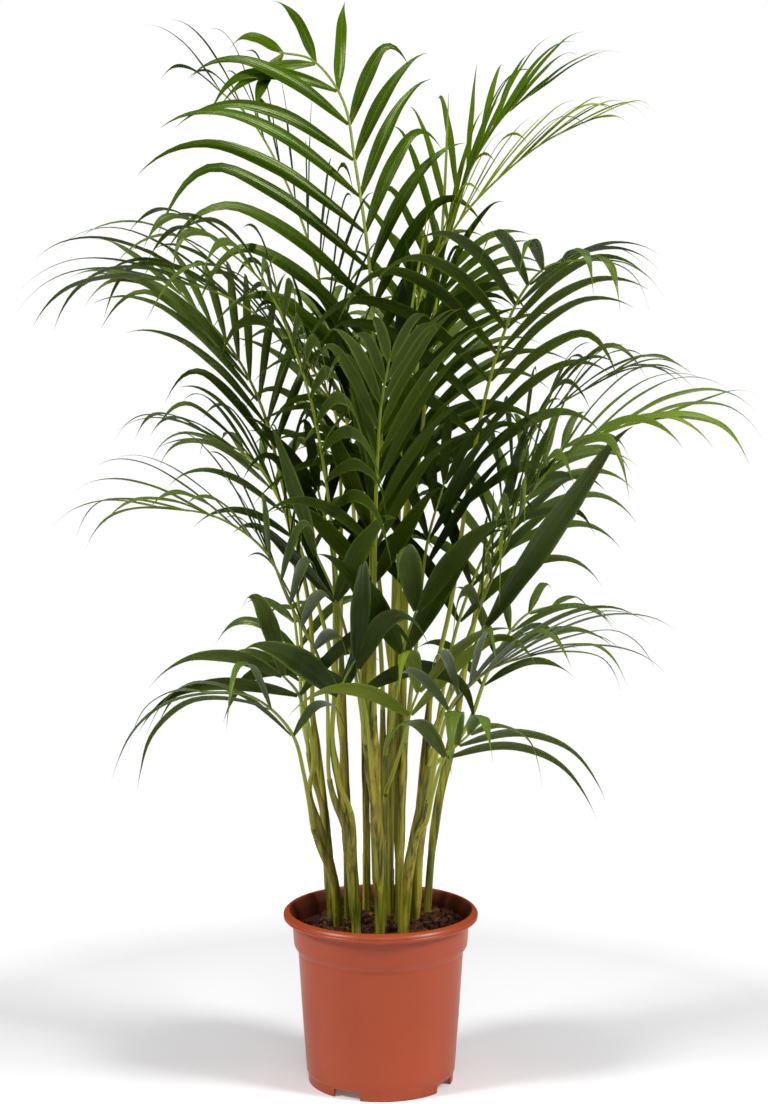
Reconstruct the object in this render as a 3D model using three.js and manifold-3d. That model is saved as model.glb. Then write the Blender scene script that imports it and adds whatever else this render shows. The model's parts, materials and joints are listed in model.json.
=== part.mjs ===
// A potted areca palm: a thin tapered pot on a notched foot, a lumpy plug of soil, a clump of slim
// ringed canes and the feathered fronds they carry.
// Millimetres, +Z up, the pot's axis on Z and its foot on z = 0, the side seen first facing -Y.
import * as THREE from "three";
import { mergeVertices } from "three/addons/utils/BufferGeometryUtils.js";
import Module from "manifold-3d";

const wasm = await Module();
wasm.setup();

// Pot
const POT_SIDES = 48;
const POT_HEIGHT = 172;
const FLOOR_Z = 10;
const FLOOR_THICKNESS = 2;
const FOOT_R = 71;
const NOTCH_HEIGHT = 8.5;
const NOTCH_HALF_ANGLE = 11;
const NOTCH_CENTRES = [-28, 62, 152, 242];
const DRAIN_R = 5;
const DRAIN_RING_R = 44;
const POT_OUTSIDE = [
  [FOOT_R, 0], [72.0, 12], [80.6, 132], [84.9, 137], [86.3, 163], [92.5, 163.4],
  [95, 166.5], [92.5, 171.2], [90.0, POT_HEIGHT],
];
const POT_INSIDE = [
  [88.8, 171.2], [84.8, 162], [83.3, 138.5], [79.0, 133.5], [70.4, 13], [70.2, FLOOR_Z + FLOOR_THICKNESS],
];

// Soil
const SOIL_Z = 150;
const SOIL_SIDES = 40;
const SOIL_RINGS = 5;
const LUMP = 2.6;
const CLEAR = 0.3;
const FOOT_DEPTH = 55;

// Canes: where each comes out of the soil, its top, and its radius at the foot
const CANE_SIDES = 8;
const CANE_RISE = 62;
const CANE_TIP_SCALE = 0.8;
const CANES = [
  { foot: [-1, -14], top: [-9, -36, 372], r: 5.4 },
  { foot: [-24, -9], top: [-42, -34, 318], r: 4.8 },
  { foot: [-50, 48], top: [-64, 40, 332], r: 4.3 },
  { foot: [-41, 10], top: [-62, -6, 262], r: 4.6 },
  { foot: [-33, 38], top: [-38, 44, 392], r: 3.9 },
  { foot: [-14, 54], top: [-16, 74, 408], r: 4.2 },
  { foot: [9, 42], top: [12, 50, 428], r: 4.4 },
  { foot: [18, 16], top: [20, 10, 398], r: 4.9 },
  { foot: [22, -12], top: [40, -34, 292], r: 4.8 },
  { foot: [34, 32], top: [46, 30, 350], r: 4.4 },
  { foot: [46, 52], top: [72, 60, 338], r: 4.3 },
  { foot: [2, 14], top: [2, 6, 338], r: 3.9 },
];

// Fronds
const PETIOLE_WIDTH = 5;
const RIDGE = 0.7;
const RIDGE_SHARE = 0.62;
const CROWN_WIDTH = 1.5;
const TIP_SCALE = 0.42;
const ROOT = 6;
const SHEATH = 26;
const SHEATH_LEAN = 2.5;
const PETIOLE_STEP = 48;
const SPEAR_POINT = 42;
const MIDRIB = 0.1;
const THINNEST = 0.65;
const BEND = 1.3;
const LONG_LEAFLET = 105;
const LAST_LEAFLETS = 0.52;
const MARGIN = 0.45;
const DRAWS = 26;
const GOLDEN = 2.399963;

const LEAF_GREEN = 0x35500f;
const DEEP_GREEN = 0x2c430e;
const FRESH_GREEN = 0x6f8f1c;

// Each frond: the cane it grows from, how far under the cane's top it leaves it (0 for the one that
// goes on from the cane's end), points its stalk passes through, the share of the stalk that is bare,
// pairs of leaflets, their length and width, their angle at the first and last pair, the lift of the
// two rows and their droop. Some also have a skew, by which the left row opens wider than the right
// one, a roll towards the tip, how long each row is, and how long the last leaflets are.
const FRONDS = [
  // tall fronds of the crown's middle and upper left
  { cane: 1, down: 0,
    path: [[-8, -20, 560], [-8, 0, 764], [-25, 26, 898], [-36, 34, 952], [-66, 38, 990], [-96, 30, 996]],
    bare: 0.46, pairs: 11, leaf: 258, width: 16.5, angle: [36, 44], skew: 12, lift: 14, droop: 1.7,
    last: 0.26, roll: 8, sides: [1.12, 0.72] },
  { cane: 6, down: 0,
    path: [[-22, 60, 560], [-50, 72, 740], [-84, 96, 855], [-128, 126, 936], [-160, 146, 965]],
    bare: 0.42, pairs: 10, leaf: 200, width: 11, angle: [44, 22], skew: 8, lift: 30, droop: 1.4 },
  { cane: 8, down: 0,
    path: [[18, -6, 600], [32, -8, 750], [71, -4, 834], [113, 0, 880], [154, 0, 912], [190, 0, 930]],
    bare: 0.6, pairs: 10, leaf: 150, width: 12, angle: [30, 8], lift: 20, droop: 0.7,
    colour: FRESH_GREEN },
  { cane: 7, down: 0, path: [[30, 60, 600], [50, 74, 760], [80, 106, 872], [118, 136, 936], [150, 150, 962]],
    bare: 0.5, pairs: 11, leaf: 190, width: 12.5, angle: [40, 12], lift: 26, droop: 0.9 },
  // left
  { cane: 3, down: 0,
    path: [[-68, 36, 450], [-97, 56, 586], [-118, 74, 660], [-150, 96, 716], [-200, 114, 768]],
    bare: 0.6, pairs: 9, leaf: 200, width: 12.5, angle: [34, 14], lift: 18, droop: 1.6,
    sides: [1.0, 0.9] },
  { cane: 2, down: 0,
    path: [[-40, -56, 480], [-56, -92, 640], [-74, -116, 714], [-104, -142, 784], [-150, -156, 826]],
    bare: 0.46, pairs: 12, leaf: 190, width: 14.5, angle: [56, 30], lift: 14, droop: 3.2 },
  { cane: 2, down: 40,
    path: [[-54, -66, 420], [-80, -92, 480], [-106, -112, 540], [-150, -132, 574], [-200, -142, 584]],
    bare: 0.43, pairs: 10, leaf: 185, width: 15, angle: [54, 16], lift: 16, droop: 1.5 },
  { cane: 3, down: 46, path: [[-76, 10, 430], [-92, 14, 560], [-118, 20, 606], [-166, 30, 634]],
    bare: 0.5, pairs: 8, leaf: 190, width: 14, angle: [46, 18], lift: 16, droop: 1.6 },
  { cane: 5, down: 0,
    path: [[-38, 14, 560], [-46, 8, 665], [-92, 10, 728], [-155, 18, 770], [-228, 20, 786]],
    bare: 0.5, pairs: 11, leaf: 250, width: 13, angle: [50, 11], lift: 18, droop: 2.0 },
  { cane: 4, down: 0, path: [[-64, -40, 330], [-76, -86, 400], [-92, -112, 426]],
    bare: 0.8, pairs: 2, leaf: 165, width: 18, angle: [50, 18], lift: 12, droop: 1.8 },
  { cane: 4, down: 36, path: [[-70, -50, 300], [-84, -86, 366], [-120, -110, 404], [-165, -128, 412]],
    bare: 0.58, pairs: 4, leaf: 190, width: 12, angle: [40, 14], lift: 10, droop: 3.6 },
  // right
  { cane: 10, down: 0,
    path: [[68, -14, 480], [88, -24, 622], [108, -50, 715], [128, -82, 771], [152, -120, 800],
      [184, -156, 806]],
    bare: 0.42, pairs: 12, leaf: 240, width: 14.5, angle: [58, 26], skew: -6, lift: 14, droop: 2.2,
    last: 0.4, sides: [0.8, 1.12] },
  { cane: 9, down: 0,
    path: [[72, -50, 420], [112, -78, 530], [142, -104, 598], [192, -124, 644], [248, -134, 666]],
    bare: 0.42, pairs: 12, leaf: 218, width: 14.5, angle: [56, 12], lift: 16, droop: 2.1 },
  { cane: 8, down: 50, path: [[26, 22, 500], [32, 50, 640], [42, 90, 720], [66, 124, 785]],
    bare: 0.5, pairs: 10, leaf: 190, width: 13, angle: [54, 26], lift: 20, droop: 1.9 },
  { cane: 9, down: 34, path: [[50, -62, 320], [66, -92, 392], [100, -118, 430], [140, -134, 448]],
    bare: 0.56, pairs: 7, leaf: 215, width: 13, angle: [46, 12], lift: 12, droop: 1.7 },
  { cane: 9, down: 66, path: [[44, -80, 280], [56, -130, 345], [82, -176, 384]],
    bare: 0.76, pairs: 3, leaf: 200, width: 19, angle: [42, 16], lift: 8, droop: 3.6 },
  { cane: 10, down: 44, path: [[62, -34, 380], [80, -62, 424], [98, -84, 470]],
    bare: 0.72, pairs: 1, leaf: 235, width: 33, angle: [13, 13], lift: 14, droop: 0.3,
    colour: DEEP_GREEN },
  { cane: 11, down: 0, path: [[94, 66, 460], [124, 74, 580], [164, 84, 648], [222, 90, 684]],
    bare: 0.5, pairs: 8, leaf: 200, width: 13, angle: [52, 18], lift: 18, droop: 2.1,
    colour: DEEP_GREEN },
  // young broad-bladed leaves in the middle
  { cane: 1, down: 60, path: [[-24, -70, 420], [-44, -90, 500], [-60, -98, 536]],
    bare: 0.78, pairs: 2, leaf: 140, width: 25, angle: [46, 14], lift: 14, droop: 0.5 },
  { cane: 12, down: 0, path: [[0, -46, 440], [-8, -76, 520], [-6, -92, 590], [2, -104, 650]],
    bare: 0.55, pairs: 4, leaf: 150, width: 18, angle: [36, 12], lift: 18, droop: 0.6 },
  { cane: 12, down: 44, path: [[12, -60, 380], [22, -100, 450], [34, -124, 490]],
    bare: 0.75, pairs: 2, leaf: 150, width: 25, angle: [40, 14], lift: 12, droop: 1.4 },
  // back
  { cane: 6, down: 50, path: [[-24, 110, 480], [-32, 162, 610], [-44, 200, 690], [-56, 230, 730]],
    bare: 0.56, pairs: 7, leaf: 155, width: 13, angle: [50, 22], lift: 20, droop: 1.7,
    colour: DEEP_GREEN },
  { cane: 7, down: 50, path: [[20, 100, 500], [36, 165, 640], [50, 208, 704], [60, 240, 735]],
    bare: 0.5, pairs: 8, leaf: 160, width: 13, angle: [54, 22], lift: 20, droop: 2.1,
    colour: DEEP_GREEN },
  { cane: 11, down: 40, path: [[92, 100, 430], [124, 150, 520], [156, 188, 575], [190, 215, 605]],
    bare: 0.5, pairs: 7, leaf: 155, width: 13, angle: [54, 22], lift: 18, droop: 2.1,
    colour: DEEP_GREEN },
  { cane: 5, down: 44, path: [[-60, 90, 450], [-94, 135, 540], [-128, 175, 590], [-164, 206, 606]],
    bare: 0.56, pairs: 6, leaf: 150, width: 13, angle: [54, 22], lift: 18, droop: 2.1,
    colour: DEEP_GREEN },
  { cane: 3, down: 80, path: [[-76, 76, 330], [-82, 116, 392], [-88, 154, 432], [-92, 186, 440]],
    bare: 0.56, pairs: 4, leaf: 110, width: 14, angle: [50, 22], lift: 14, droop: 2.2,
    colour: DEEP_GREEN },
  { cane: 10, down: 80, path: [[80, 60, 330], [112, 100, 400], [145, 136, 440], [178, 160, 448]],
    bare: 0.5, pairs: 5, leaf: 125, width: 13, angle: [52, 22], lift: 14, droop: 2.0,
    colour: DEEP_GREEN },
  // front
  { cane: 1, down: 30, path: [[-6, -84, 480], [-4, -122, 590], [0, -160, 672], [8, -206, 722]],
    bare: 0.5, pairs: 8, leaf: 170, width: 14, angle: [34, 16], lift: 20, droop: 1.5 },
  // middle of the crown
  { cane: 7, down: 90, path: [[-4, 30, 520], [0, 10, 620], [22, -10, 700], [44, -22, 742]],
    bare: 0.55, pairs: 7, leaf: 185, width: 15, angle: [44, 20], lift: 18, droop: 1.4,
    colour: DEEP_GREEN },
  { cane: 10, down: 110, path: [[60, 0, 440], [78, -10, 520], [100, -24, 575]],
    bare: 0.6, pairs: 5, leaf: 170, width: 16, angle: [42, 16], lift: 18, droop: 1.0,
    colour: DEEP_GREEN },
  { cane: 8, down: 96, path: [[34, -30, 440], [44, -52, 540], [60, -66, 600]],
    bare: 0.6, pairs: 5, leaf: 165, width: 15, angle: [42, 16], lift: 18, droop: 1.0,
    colour: DEEP_GREEN },
  { cane: 5, down: 90, path: [[-44, 10, 420], [-46, -10, 520], [-60, -26, 590]],
    bare: 0.6, pairs: 5, leaf: 165, width: 15, angle: [42, 16], lift: 18, droop: 1.0,
    colour: DEEP_GREEN },
  // low broad blades that hang over the canes
  { cane: 1, down: 96, path: [[-14, -66, 380], [-22, -92, 430]],
    bare: 0.8, pairs: 2, leaf: 150, width: 20, angle: [60, 24], lift: 6, droop: 3.2 },
  { cane: 12, down: 84, path: [[16, -50, 330], [28, -84, 384], [36, -104, 410]],
    bare: 0.8, pairs: 2, leaf: 150, width: 18, angle: [50, 20], lift: 10, droop: 2.8,
    colour: FRESH_GREEN },
  { cane: 2, down: 76, path: [[-44, -60, 330], [-40, -86, 400], [-22, -104, 440]],
    bare: 0.78, pairs: 2, leaf: 160, width: 26, angle: [46, 20], lift: 12, droop: 1.0,
    colour: DEEP_GREEN },
  // unopened spears
  { cane: 7, down: 24, path: [[40, 24, 640], [58, 28, 820], [65, 34, 965]],
    bare: 1, pairs: 0, colour: FRESH_GREEN },
  { cane: 12, down: 20, path: [[14, -34, 560], [24, -44, 720], [44, -50, 850]],
    bare: 1, pairs: 0, colour: FRESH_GREEN },
];

const rad = (degrees) => (degrees * Math.PI) / 180;
const vec = (x, y, z) => new THREE.Vector3(x, y, z);
const UP = vec(0, 0, 1);

// A seeded stream of numbers from 0 to 1.
function stream(seed) {
  let state = seed * 2654435761 % 4294967296;
  return () => {
    state = (state * 1664525 + 1013904223) % 4294967296;
    return state / 4294967296;
  };
}

// --- closed surfaces from lists of triangles -------------------------------------------------------

function geometryOf(triangles) {
  const position = new Float32Array(triangles.length * 9);
  triangles.forEach((corners, i) => corners.forEach((p, k) => p.toArray(position, i * 9 + k * 3)));
  const loose = new THREE.BufferGeometry();
  loose.setAttribute("position", new THREE.BufferAttribute(position, 3));
  return mergeVertices(loose, 1e-4);
}

function solidOf(geometry) {
  const merged = mergeVertices(geometry.deleteAttribute("normal").deleteAttribute("uv"), 1e-4);
  const mesh = new wasm.Mesh({
    numProp: 3,
    vertProperties: merged.attributes.position.array,
    triVerts: new Uint32Array(merged.index.array),
  });
  return new wasm.Manifold(mesh);
}

function geometryFrom(solid) {
  const mesh = solid.getMesh();
  const geometry = new THREE.BufferGeometry();
  const position = new Float32Array(mesh.numVert * 3);
  for (let i = 0; i < mesh.numVert; i++) {
    position.set(mesh.vertProperties.subarray(i * mesh.numProp, i * mesh.numProp + 3), i * 3);
  }
  geometry.setAttribute("position", new THREE.BufferAttribute(position, 3));
  geometry.setIndex(new THREE.BufferAttribute(mesh.triVerts, 1));
  return geometry;
}

// Rings of points joined into a closed skin, each ring wound anticlockwise seen from the last one.
function skin(rings) {
  const out = [];
  for (let i = 0; i + 1 < rings.length; i++) joinRings(out, rings[i], rings[i + 1]);
  fan(out, rings[0], true);
  fan(out, rings[rings.length - 1], false);
  return out;
}

// The skin between two rings, each of its quads cut along one diagonal or, if mirrored, the other.
function joinRings(out, near, far, mirrored = false) {
  for (let k = 0; k < near.length; k++) {
    const next = (k + 1) % near.length;
    const cut = mirrored ? far[k] : far[next];
    out.push([near[k], near[next], cut], [mirrored ? near[next] : near[k], far[next], far[k]]);
  }
}

function fan(out, ring, turned) {
  for (let k = 1; k + 1 < ring.length; k++) {
    out.push(turned ? [ring[0], ring[k + 1], ring[k]] : [ring[0], ring[k], ring[k + 1]]);
  }
}

// --- pot --------------------------------------------------------------------------------------------

function lathe(profile, sides) {
  const points = profile.map(([r, z]) => new THREE.Vector2(r, z));
  return new THREE.LatheGeometry(points, sides).rotateX(Math.PI / 2);
}

// The wall, rim and raised floor as one turned shell.
function potShell() {
  const underFloor = [[0, FLOOR_Z], [FOOT_R - 3.4, FLOOR_Z], [FOOT_R - 2.6, 0]];
  const profile = [...underFloor, ...POT_OUTSIDE, ...POT_INSIDE, [0, FLOOR_Z + FLOOR_THICKNESS]];
  return solidOf(lathe(profile, POT_SIDES));
}

function notch(degrees) {
  const half = rad(NOTCH_HALF_ANGLE);
  const shape = new THREE.Shape([
    new THREE.Vector2(-FOOT_R * Math.tan(half), -2),
    new THREE.Vector2(FOOT_R * Math.tan(half), -2),
    new THREE.Vector2(FOOT_R * Math.tan(half * 0.86), NOTCH_HEIGHT),
    new THREE.Vector2(-FOOT_R * Math.tan(half * 0.86), NOTCH_HEIGHT),
  ]);
  const block = new THREE.ExtrudeGeometry(shape, { depth: 20, bevelEnabled: false });
  block.rotateX(Math.PI / 2).translate(0, -FOOT_R + 12, 0).rotateZ(rad(degrees));
  return solidOf(block);
}

function drain(index) {
  const turn = rad(NOTCH_CENTRES[0] + 45 + index * 90);
  const hole = new THREE.CylinderGeometry(DRAIN_R, DRAIN_R, 12, 10).rotateX(Math.PI / 2);
  hole.translate(DRAIN_RING_R * Math.sin(turn), -DRAIN_RING_R * Math.cos(turn), FLOOR_Z);
  return solidOf(hole);
}

function potGeometry() {
  let pot = potShell();
  NOTCH_CENTRES.forEach((degrees, i) => {
    pot = pot.subtract(notch(degrees)).subtract(drain(i));
  });
  return geometryFrom(pot);
}

// --- soil -------------------------------------------------------------------------------------------

function soilHeight(x, y) {
  const broad = Math.sin(x * 0.083 + 1.1) * Math.cos(y * 0.071 - 0.4);
  const fine = Math.sin(x * 0.21 + y * 0.13) + Math.cos(y * 0.24 - x * 0.17 + 2);
  return SOIL_Z + LUMP * (0.7 * broad + 0.45 * fine);
}

// Radius of the soil plug at a height: the pot's inside less the gap.
function plugRadius(z) {
  const inside = [...POT_INSIDE].reverse();
  const above = inside.findIndex(([, height]) => height >= z);
  const [r0, z0] = inside[above - 1];
  const [r1, z1] = inside[above];
  const flat = Math.cos(Math.PI / POT_SIDES);
  return (r0 + ((r1 - r0) * (z - z0)) / (z1 - z0)) * flat - CLEAR;
}

function ringAt(radius, heightOf) {
  const ring = [];
  for (let k = 0; k < SOIL_SIDES; k++) {
    const turn = (k / SOIL_SIDES) * Math.PI * 2;
    const x = radius * Math.cos(turn);
    const y = radius * Math.sin(turn);
    ring.push(vec(x, y, heightOf(x, y)));
  }
  return ring;
}

function soilSolid() {
  const bottom = FLOOR_Z + FLOOR_THICKNESS + CLEAR;
  const levels = [bottom, 133.5, 138.5, SOIL_Z - 6];
  const rings = levels.map((z) => ringAt(plugRadius(z + 0.001), () => z));
  const rim = plugRadius(SOIL_Z - 6);
  for (let i = 0; i < SOIL_RINGS; i++) {
    rings.push(ringAt(rim * (1 - 0.02 - (0.92 * i) / SOIL_RINGS), soilHeight));
  }
  return solidOf(geometryOf(skin(rings)));
}

function soilGeometry() {
  const holes = CANES.map((cane) => {
    const line = caneLine(cane);
    const up = line[1].clone().sub(line[0]).normalize();
    const foot = line[0].clone().addScaledVector(up, -CLEAR);
    const radius = cane.r + CLEAR;
    return solidOf(geometryOf(skin([roundRing(foot, up, radius), roundRing(line[1], up, radius)])));
  });
  return geometryFrom(holes.reduce((soil, hole) => soil.subtract(hole), soilSolid()));
}

// --- canes ------------------------------------------------------------------------------------------

// Points up a cane: straight while in the soil, then a slight bow to its top.
function caneLine(cane) {
  const foot = vec(cane.foot[0], cane.foot[1], SOIL_Z);
  const top = vec(...cane.top);
  const lean = top.clone().sub(foot);
  const start = vec(lean.x * 0.35, lean.y * 0.35, lean.z).normalize();
  const under = foot.clone().addScaledVector(start, -FOOT_DEPTH);
  const over = foot.clone().addScaledVector(start, 8);
  const line = [under, over];
  const steps = Math.max(2, Math.round(lean.z / CANE_RISE));
  for (let i = 1; i <= steps; i++) {
    const t = i / steps;
    const bow = t * (0.35 + 0.65 * t);
    line.push(vec(foot.x + lean.x * bow, foot.y + lean.y * bow, foot.z + 8 + (lean.z - 8) * t));
  }
  return line;
}

function caneRadius(cane, t) {
  return cane.r * (1 - (1 - CANE_TIP_SCALE) * t);
}

function roundRing(centre, along, radius) {
  const side = vec(1, 0, 0).addScaledVector(along, -along.x).normalize();
  const other = along.clone().cross(side);
  const ring = [];
  for (let k = 0; k < CANE_SIDES; k++) {
    const turn = (k / CANE_SIDES) * Math.PI * 2;
    const point = centre.clone().addScaledVector(side, radius * Math.cos(turn));
    ring.push(point.addScaledVector(other, radius * Math.sin(turn)));
  }
  return ring;
}

function tangentsOf(line) {
  return line.map((_, i) => {
    const before = line[Math.max(0, i - 1)];
    const after = line[Math.min(line.length - 1, i + 1)];
    return after.clone().sub(before).normalize();
  });
}

function caneTriangles(cane) {
  const line = caneLine(cane);
  const along = tangentsOf(line);
  along[1] = along[0];
  const share = (i) => Math.max(0, (i - 1) / (line.length - 2));
  return skin(line.map((p, i) => roundRing(p, along[i], caneRadius(cane, share(i)))));
}

// --- fronds -----------------------------------------------------------------------------------------

// Where a stalk leaves its cane, which way it starts, and which way out from the cane it lies.
function startOn(frond) {
  const cane = CANES[frond.cane - 1];
  const line = caneLine(cane);
  const top = line[line.length - 1];
  const along = tangentsOf(line)[line.length - 1];
  const goal = vec(...frond.path[frond.path.length - 1]);
  const out = goal.sub(top);
  out.addScaledVector(along, -out.dot(along)).normalize();
  if (frond.down === 0) {
    const point = top.clone().addScaledVector(along, CLEAR);
    return { point, along, out, width: caneRadius(cane, 1) * CROWN_WIDTH };
  }
  const share = 1 - frond.down / (top.z - SOIL_Z);
  const spot = pointOn(line.slice(1), share);
  const reach = caneRadius(cane, share) + CLEAR + PETIOLE_WIDTH * RIDGE * RIDGE_SHARE;
  return { point: spot.point.addScaledVector(out, reach), along: spot.along, out, width: PETIOLE_WIDTH };
}

function pointOn(line, share) {
  const at = share * (line.length - 1);
  const i = Math.min(line.length - 2, Math.floor(at));
  const along = line[i + 1].clone().sub(line[i]);
  return { point: line[i].clone().addScaledVector(along, at - i), along: along.clone().normalize() };
}

// The smooth line of a stalk: up along the cane first, then through its own points.
function stalkCurve(frond, shift) {
  const start = startOn(frond);
  const sheath = start.point.clone().addScaledVector(start.along, SHEATH);
  if (frond.down) sheath.addScaledVector(start.out, SHEATH_LEAN);
  const points = [start.point, sheath];
  frond.path.forEach((p, i) => {
    const swing = shift.clone().multiplyScalar((i + 1) / frond.path.length);
    points.push(vec(...p).add(swing));
  });
  return { curve: new THREE.CatmullRomCurve3(points, false, "centripetal"), start };
}

// Distances along the stalk where it has a ring of its own, each with the pair that roots there.
function stations(frond, length) {
  const marks = [{ at: 0 }];
  const bareEnd = frond.pairs ? frond.bare * length : length;
  const steps = Math.max(3, Math.round((bareEnd - SHEATH) / PETIOLE_STEP));
  for (let i = 0; i < steps; i++) marks.push({ at: SHEATH + ((bareEnd - SHEATH) * i) / steps });
  for (let i = 0; i < frond.pairs; i++) {
    const share = frond.pairs > 1 ? i / (frond.pairs - 1) : 1;
    const at = bareEnd + (length - ROOT - bareEnd) * Math.pow(share, 0.94);
    marks.push({ at, pair: i, share }, { at: at + ROOT });
  }
  return marks;
}

// Frames carried along the stalk without twisting, then rolled a little at a time.
function framesOf(frond, shift) {
  const { curve, start } = stalkCurve(frond, shift);
  const length = curve.getLength();
  const marks = stations(frond, length);
  let normal = start.out.clone().negate();
  return marks.map((mark) => {
    const u = Math.min(1, mark.at / length);
    const point = curve.getPointAt(u);
    const along = curve.getTangentAt(u);
    normal = normal.clone().addScaledVector(along, -normal.dot(along)).normalize();
    const up = normal.clone().applyAxisAngle(along, rad(frond.roll ?? 0) * u);
    const side = up.clone().cross(along);
    return { ...mark, u, point, along, up, side, width: stalkWidth(frond, start, u, mark.at) };
  });
}

function stalkWidth(frond, start, u, at) {
  const base = start.width + (PETIOLE_WIDTH - start.width) * Math.min(1, at / 60);
  const thin = frond.pairs ? TIP_SCALE : 0.5;
  return base * (1 - (1 - thin) * Math.pow(u, 1.4));
}

function stalkRing(frame, grow = 0) {
  const half = frame.width / 2 + grow;
  const low = -frame.width * RIDGE * (1 - RIDGE_SHARE) - grow;
  const high = frame.width * RIDGE * RIDGE_SHARE + grow;
  const left = frame.point.clone().addScaledVector(frame.side, half).addScaledVector(frame.up, low);
  const ridge = frame.point.clone().addScaledVector(frame.up, high);
  const right = frame.point.clone().addScaledVector(frame.side, -half).addScaledVector(frame.up, low);
  return [left, ridge, right];
}

// One leaflet's shape: where each of its cross-sections lies, how wide it is and how it is tilted.
function leafletLine(frond, frame, hand, draw) {
  const [first, last] = frond.angle;
  const share = frame.share;
  const open = rad(first + (last - first) * share + hand * (frond.skew ?? 0) + draw.open);
  const lift = rad(frond.lift + draw.lift);
  const sideways = frame.side.clone().multiplyScalar(hand * Math.cos(lift));
  sideways.addScaledVector(frame.up, Math.sin(lift));
  const heading = frame.along.clone().multiplyScalar(Math.cos(open));
  heading.addScaledVector(sideways, Math.sin(open));
  const [leftLong, rightLong] = frond.sides ?? [1, 1];
  const sideLong = hand > 0 ? leftLong : rightLong;
  const length = frond.leaf * sideLong * lengthShare(share, frond) * draw.length;
  const root = frame.point.clone().addScaledVector(frame.side, (hand * frame.width) / 2);
  root.addScaledVector(frame.along, ROOT * 0.5);
  const droop = frond.droop * draw.droop;
  return { heading, length, root, droop, normal: frame.up.clone(), width: frond.width };
}

function lengthShare(share, frond) {
  if (frond.pairs < 3) return 1;
  const shrink = 1 - (frond.last ?? LAST_LEAFLETS);
  return (0.8 + 0.2 * Math.min(1, share / 0.25)) * (1 - shrink * Math.pow(share, 1.8));
}

// Share of the length and of the width at each cross-section, the last one before the tip.
const SECTIONS_LONG = [[0.17, 0.72], [0.46, 1], [0.76, 0.62]];
const SECTIONS_SHORT = [[0.28, 0.85], [0.66, 0.85]];

function leafletRings(leaf, along, grow = 0) {
  const sections = leaf.length > LONG_LEAFLET ? SECTIONS_LONG : SECTIONS_SHORT;
  const rings = [];
  const heading = leaf.heading.clone();
  let normal = leaf.normal.clone();
  const point = leaf.root.clone();
  let done = 0;
  [...sections, [1, 0]].forEach(([t, wide]) => {
    const middle = (t + done) / 2;
    heading.addScaledVector(UP, -leaf.droop * (t - done) * Math.pow(middle, BEND)).normalize();
    point.addScaledVector(heading, (t - done) * leaf.length);
    done = t;
    normal = normal.addScaledVector(heading, -normal.dot(heading)).normalize();
    const across = normal.clone().cross(heading).normalize();
    if (across.dot(along) < 0) across.negate();
    rings.push(leafletRing(point, across, normal, wide * leaf.width, grow));
  });
  const tip = rings.pop()[1];
  return { rings, tip: tip.addScaledVector(heading, grow) };
}

function leafletRing(point, across, normal, width, grow) {
  const half = width / 2 + grow;
  const high = Math.max(THINNEST, width * MIDRIB) + grow;
  const back = point.clone().addScaledVector(across, -half).addScaledVector(normal, -grow);
  const ridge = point.clone().addScaledVector(normal, width > 0 ? high : 0);
  const front = point.clone().addScaledVector(across, half).addScaledVector(normal, -grow);
  return [back, ridge, front];
}

// The leaflet's skin on its root triangle; right-hand leaflets are wound the other way round.
function leafletTriangles(rootRing, shape, hand) {
  const order = hand > 0 ? (ring) => ring : ([back, ridge, front]) => [ridge, back, front];
  const out = [];
  let near = rootRing;
  shape.rings.forEach((ring) => {
    const far = order(ring);
    joinRings(out, near, far, hand < 0);
    near = far;
  });
  for (let k = 0; k < 3; k++) out.push([near[k], near[(k + 1) % 3], shape.tip]);
  return out;
}

// --- keeping pieces clear of each other ---------------------------------------------------------------

const CELL = 24;
const grid = new Map();

function cellsOf(box) {
  const keys = [];
  const [a, b] = [box.min, box.max].map((p) => p.clone().divideScalar(CELL).floor());
  for (let x = a.x; x <= b.x; x++) {
    for (let y = a.y; y <= b.y; y++) {
      for (let z = a.z; z <= b.z; z++) keys.push(x * 73856093 ^ y * 19349663 ^ z * 83492791);
    }
  }
  return keys;
}

function boxed(corners, owner) {
  return { corners, owner, box: new THREE.Box3().setFromPoints(corners) };
}

function place(triangles, owner) {
  triangles.forEach((corners) => {
    const item = boxed(corners, owner);
    cellsOf(item.box).forEach((key) => {
      if (!grid.has(key)) grid.set(key, []);
      grid.get(key).push(item);
    });
  });
}

const ray = new THREE.Ray();
const met = new THREE.Vector3();

function pierces(from, to, [a, b, c]) {
  ray.origin.copy(from);
  ray.direction.copy(to).sub(from);
  const reach = ray.direction.length();
  ray.direction.divideScalar(reach || 1);
  return ray.intersectTriangle(a, b, c, false, met) !== null && met.distanceTo(from) <= reach;
}

function cross(one, two) {
  for (let k = 0; k < 3; k++) {
    if (pierces(one[k], one[(k + 1) % 3], two) || pierces(two[k], two[(k + 1) % 3], one)) return true;
  }
  return false;
}

// Whether triangles cross nothing placed so far, but for what the owner named already holds.
function isClear(triangles, owner) {
  return triangles.every((corners) => {
    const item = boxed(corners);
    return cellsOf(item.box).every((key) => {
      const near = (grid.get(key) ?? []).filter((other) => !owner || other.owner !== owner);
      return near.every((other) => !other.box.intersectsBox(item.box) || !cross(corners, other.corners));
    });
  });
}

// --- placing fronds -----------------------------------------------------------------------------------

function stalkBody(frond, frames, grow) {
  const rings = frames.map((frame) => stalkRing(frame, grow * Math.min(1, frame.at / SHEATH)));
  if (frond.pairs === 0) rings.push(Array(3).fill(spearTip(frames)));
  return skin(rings);
}

function spearTip(frames) {
  const end = frames[frames.length - 1];
  return end.point.clone().addScaledVector(end.along, SPEAR_POINT);
}

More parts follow.
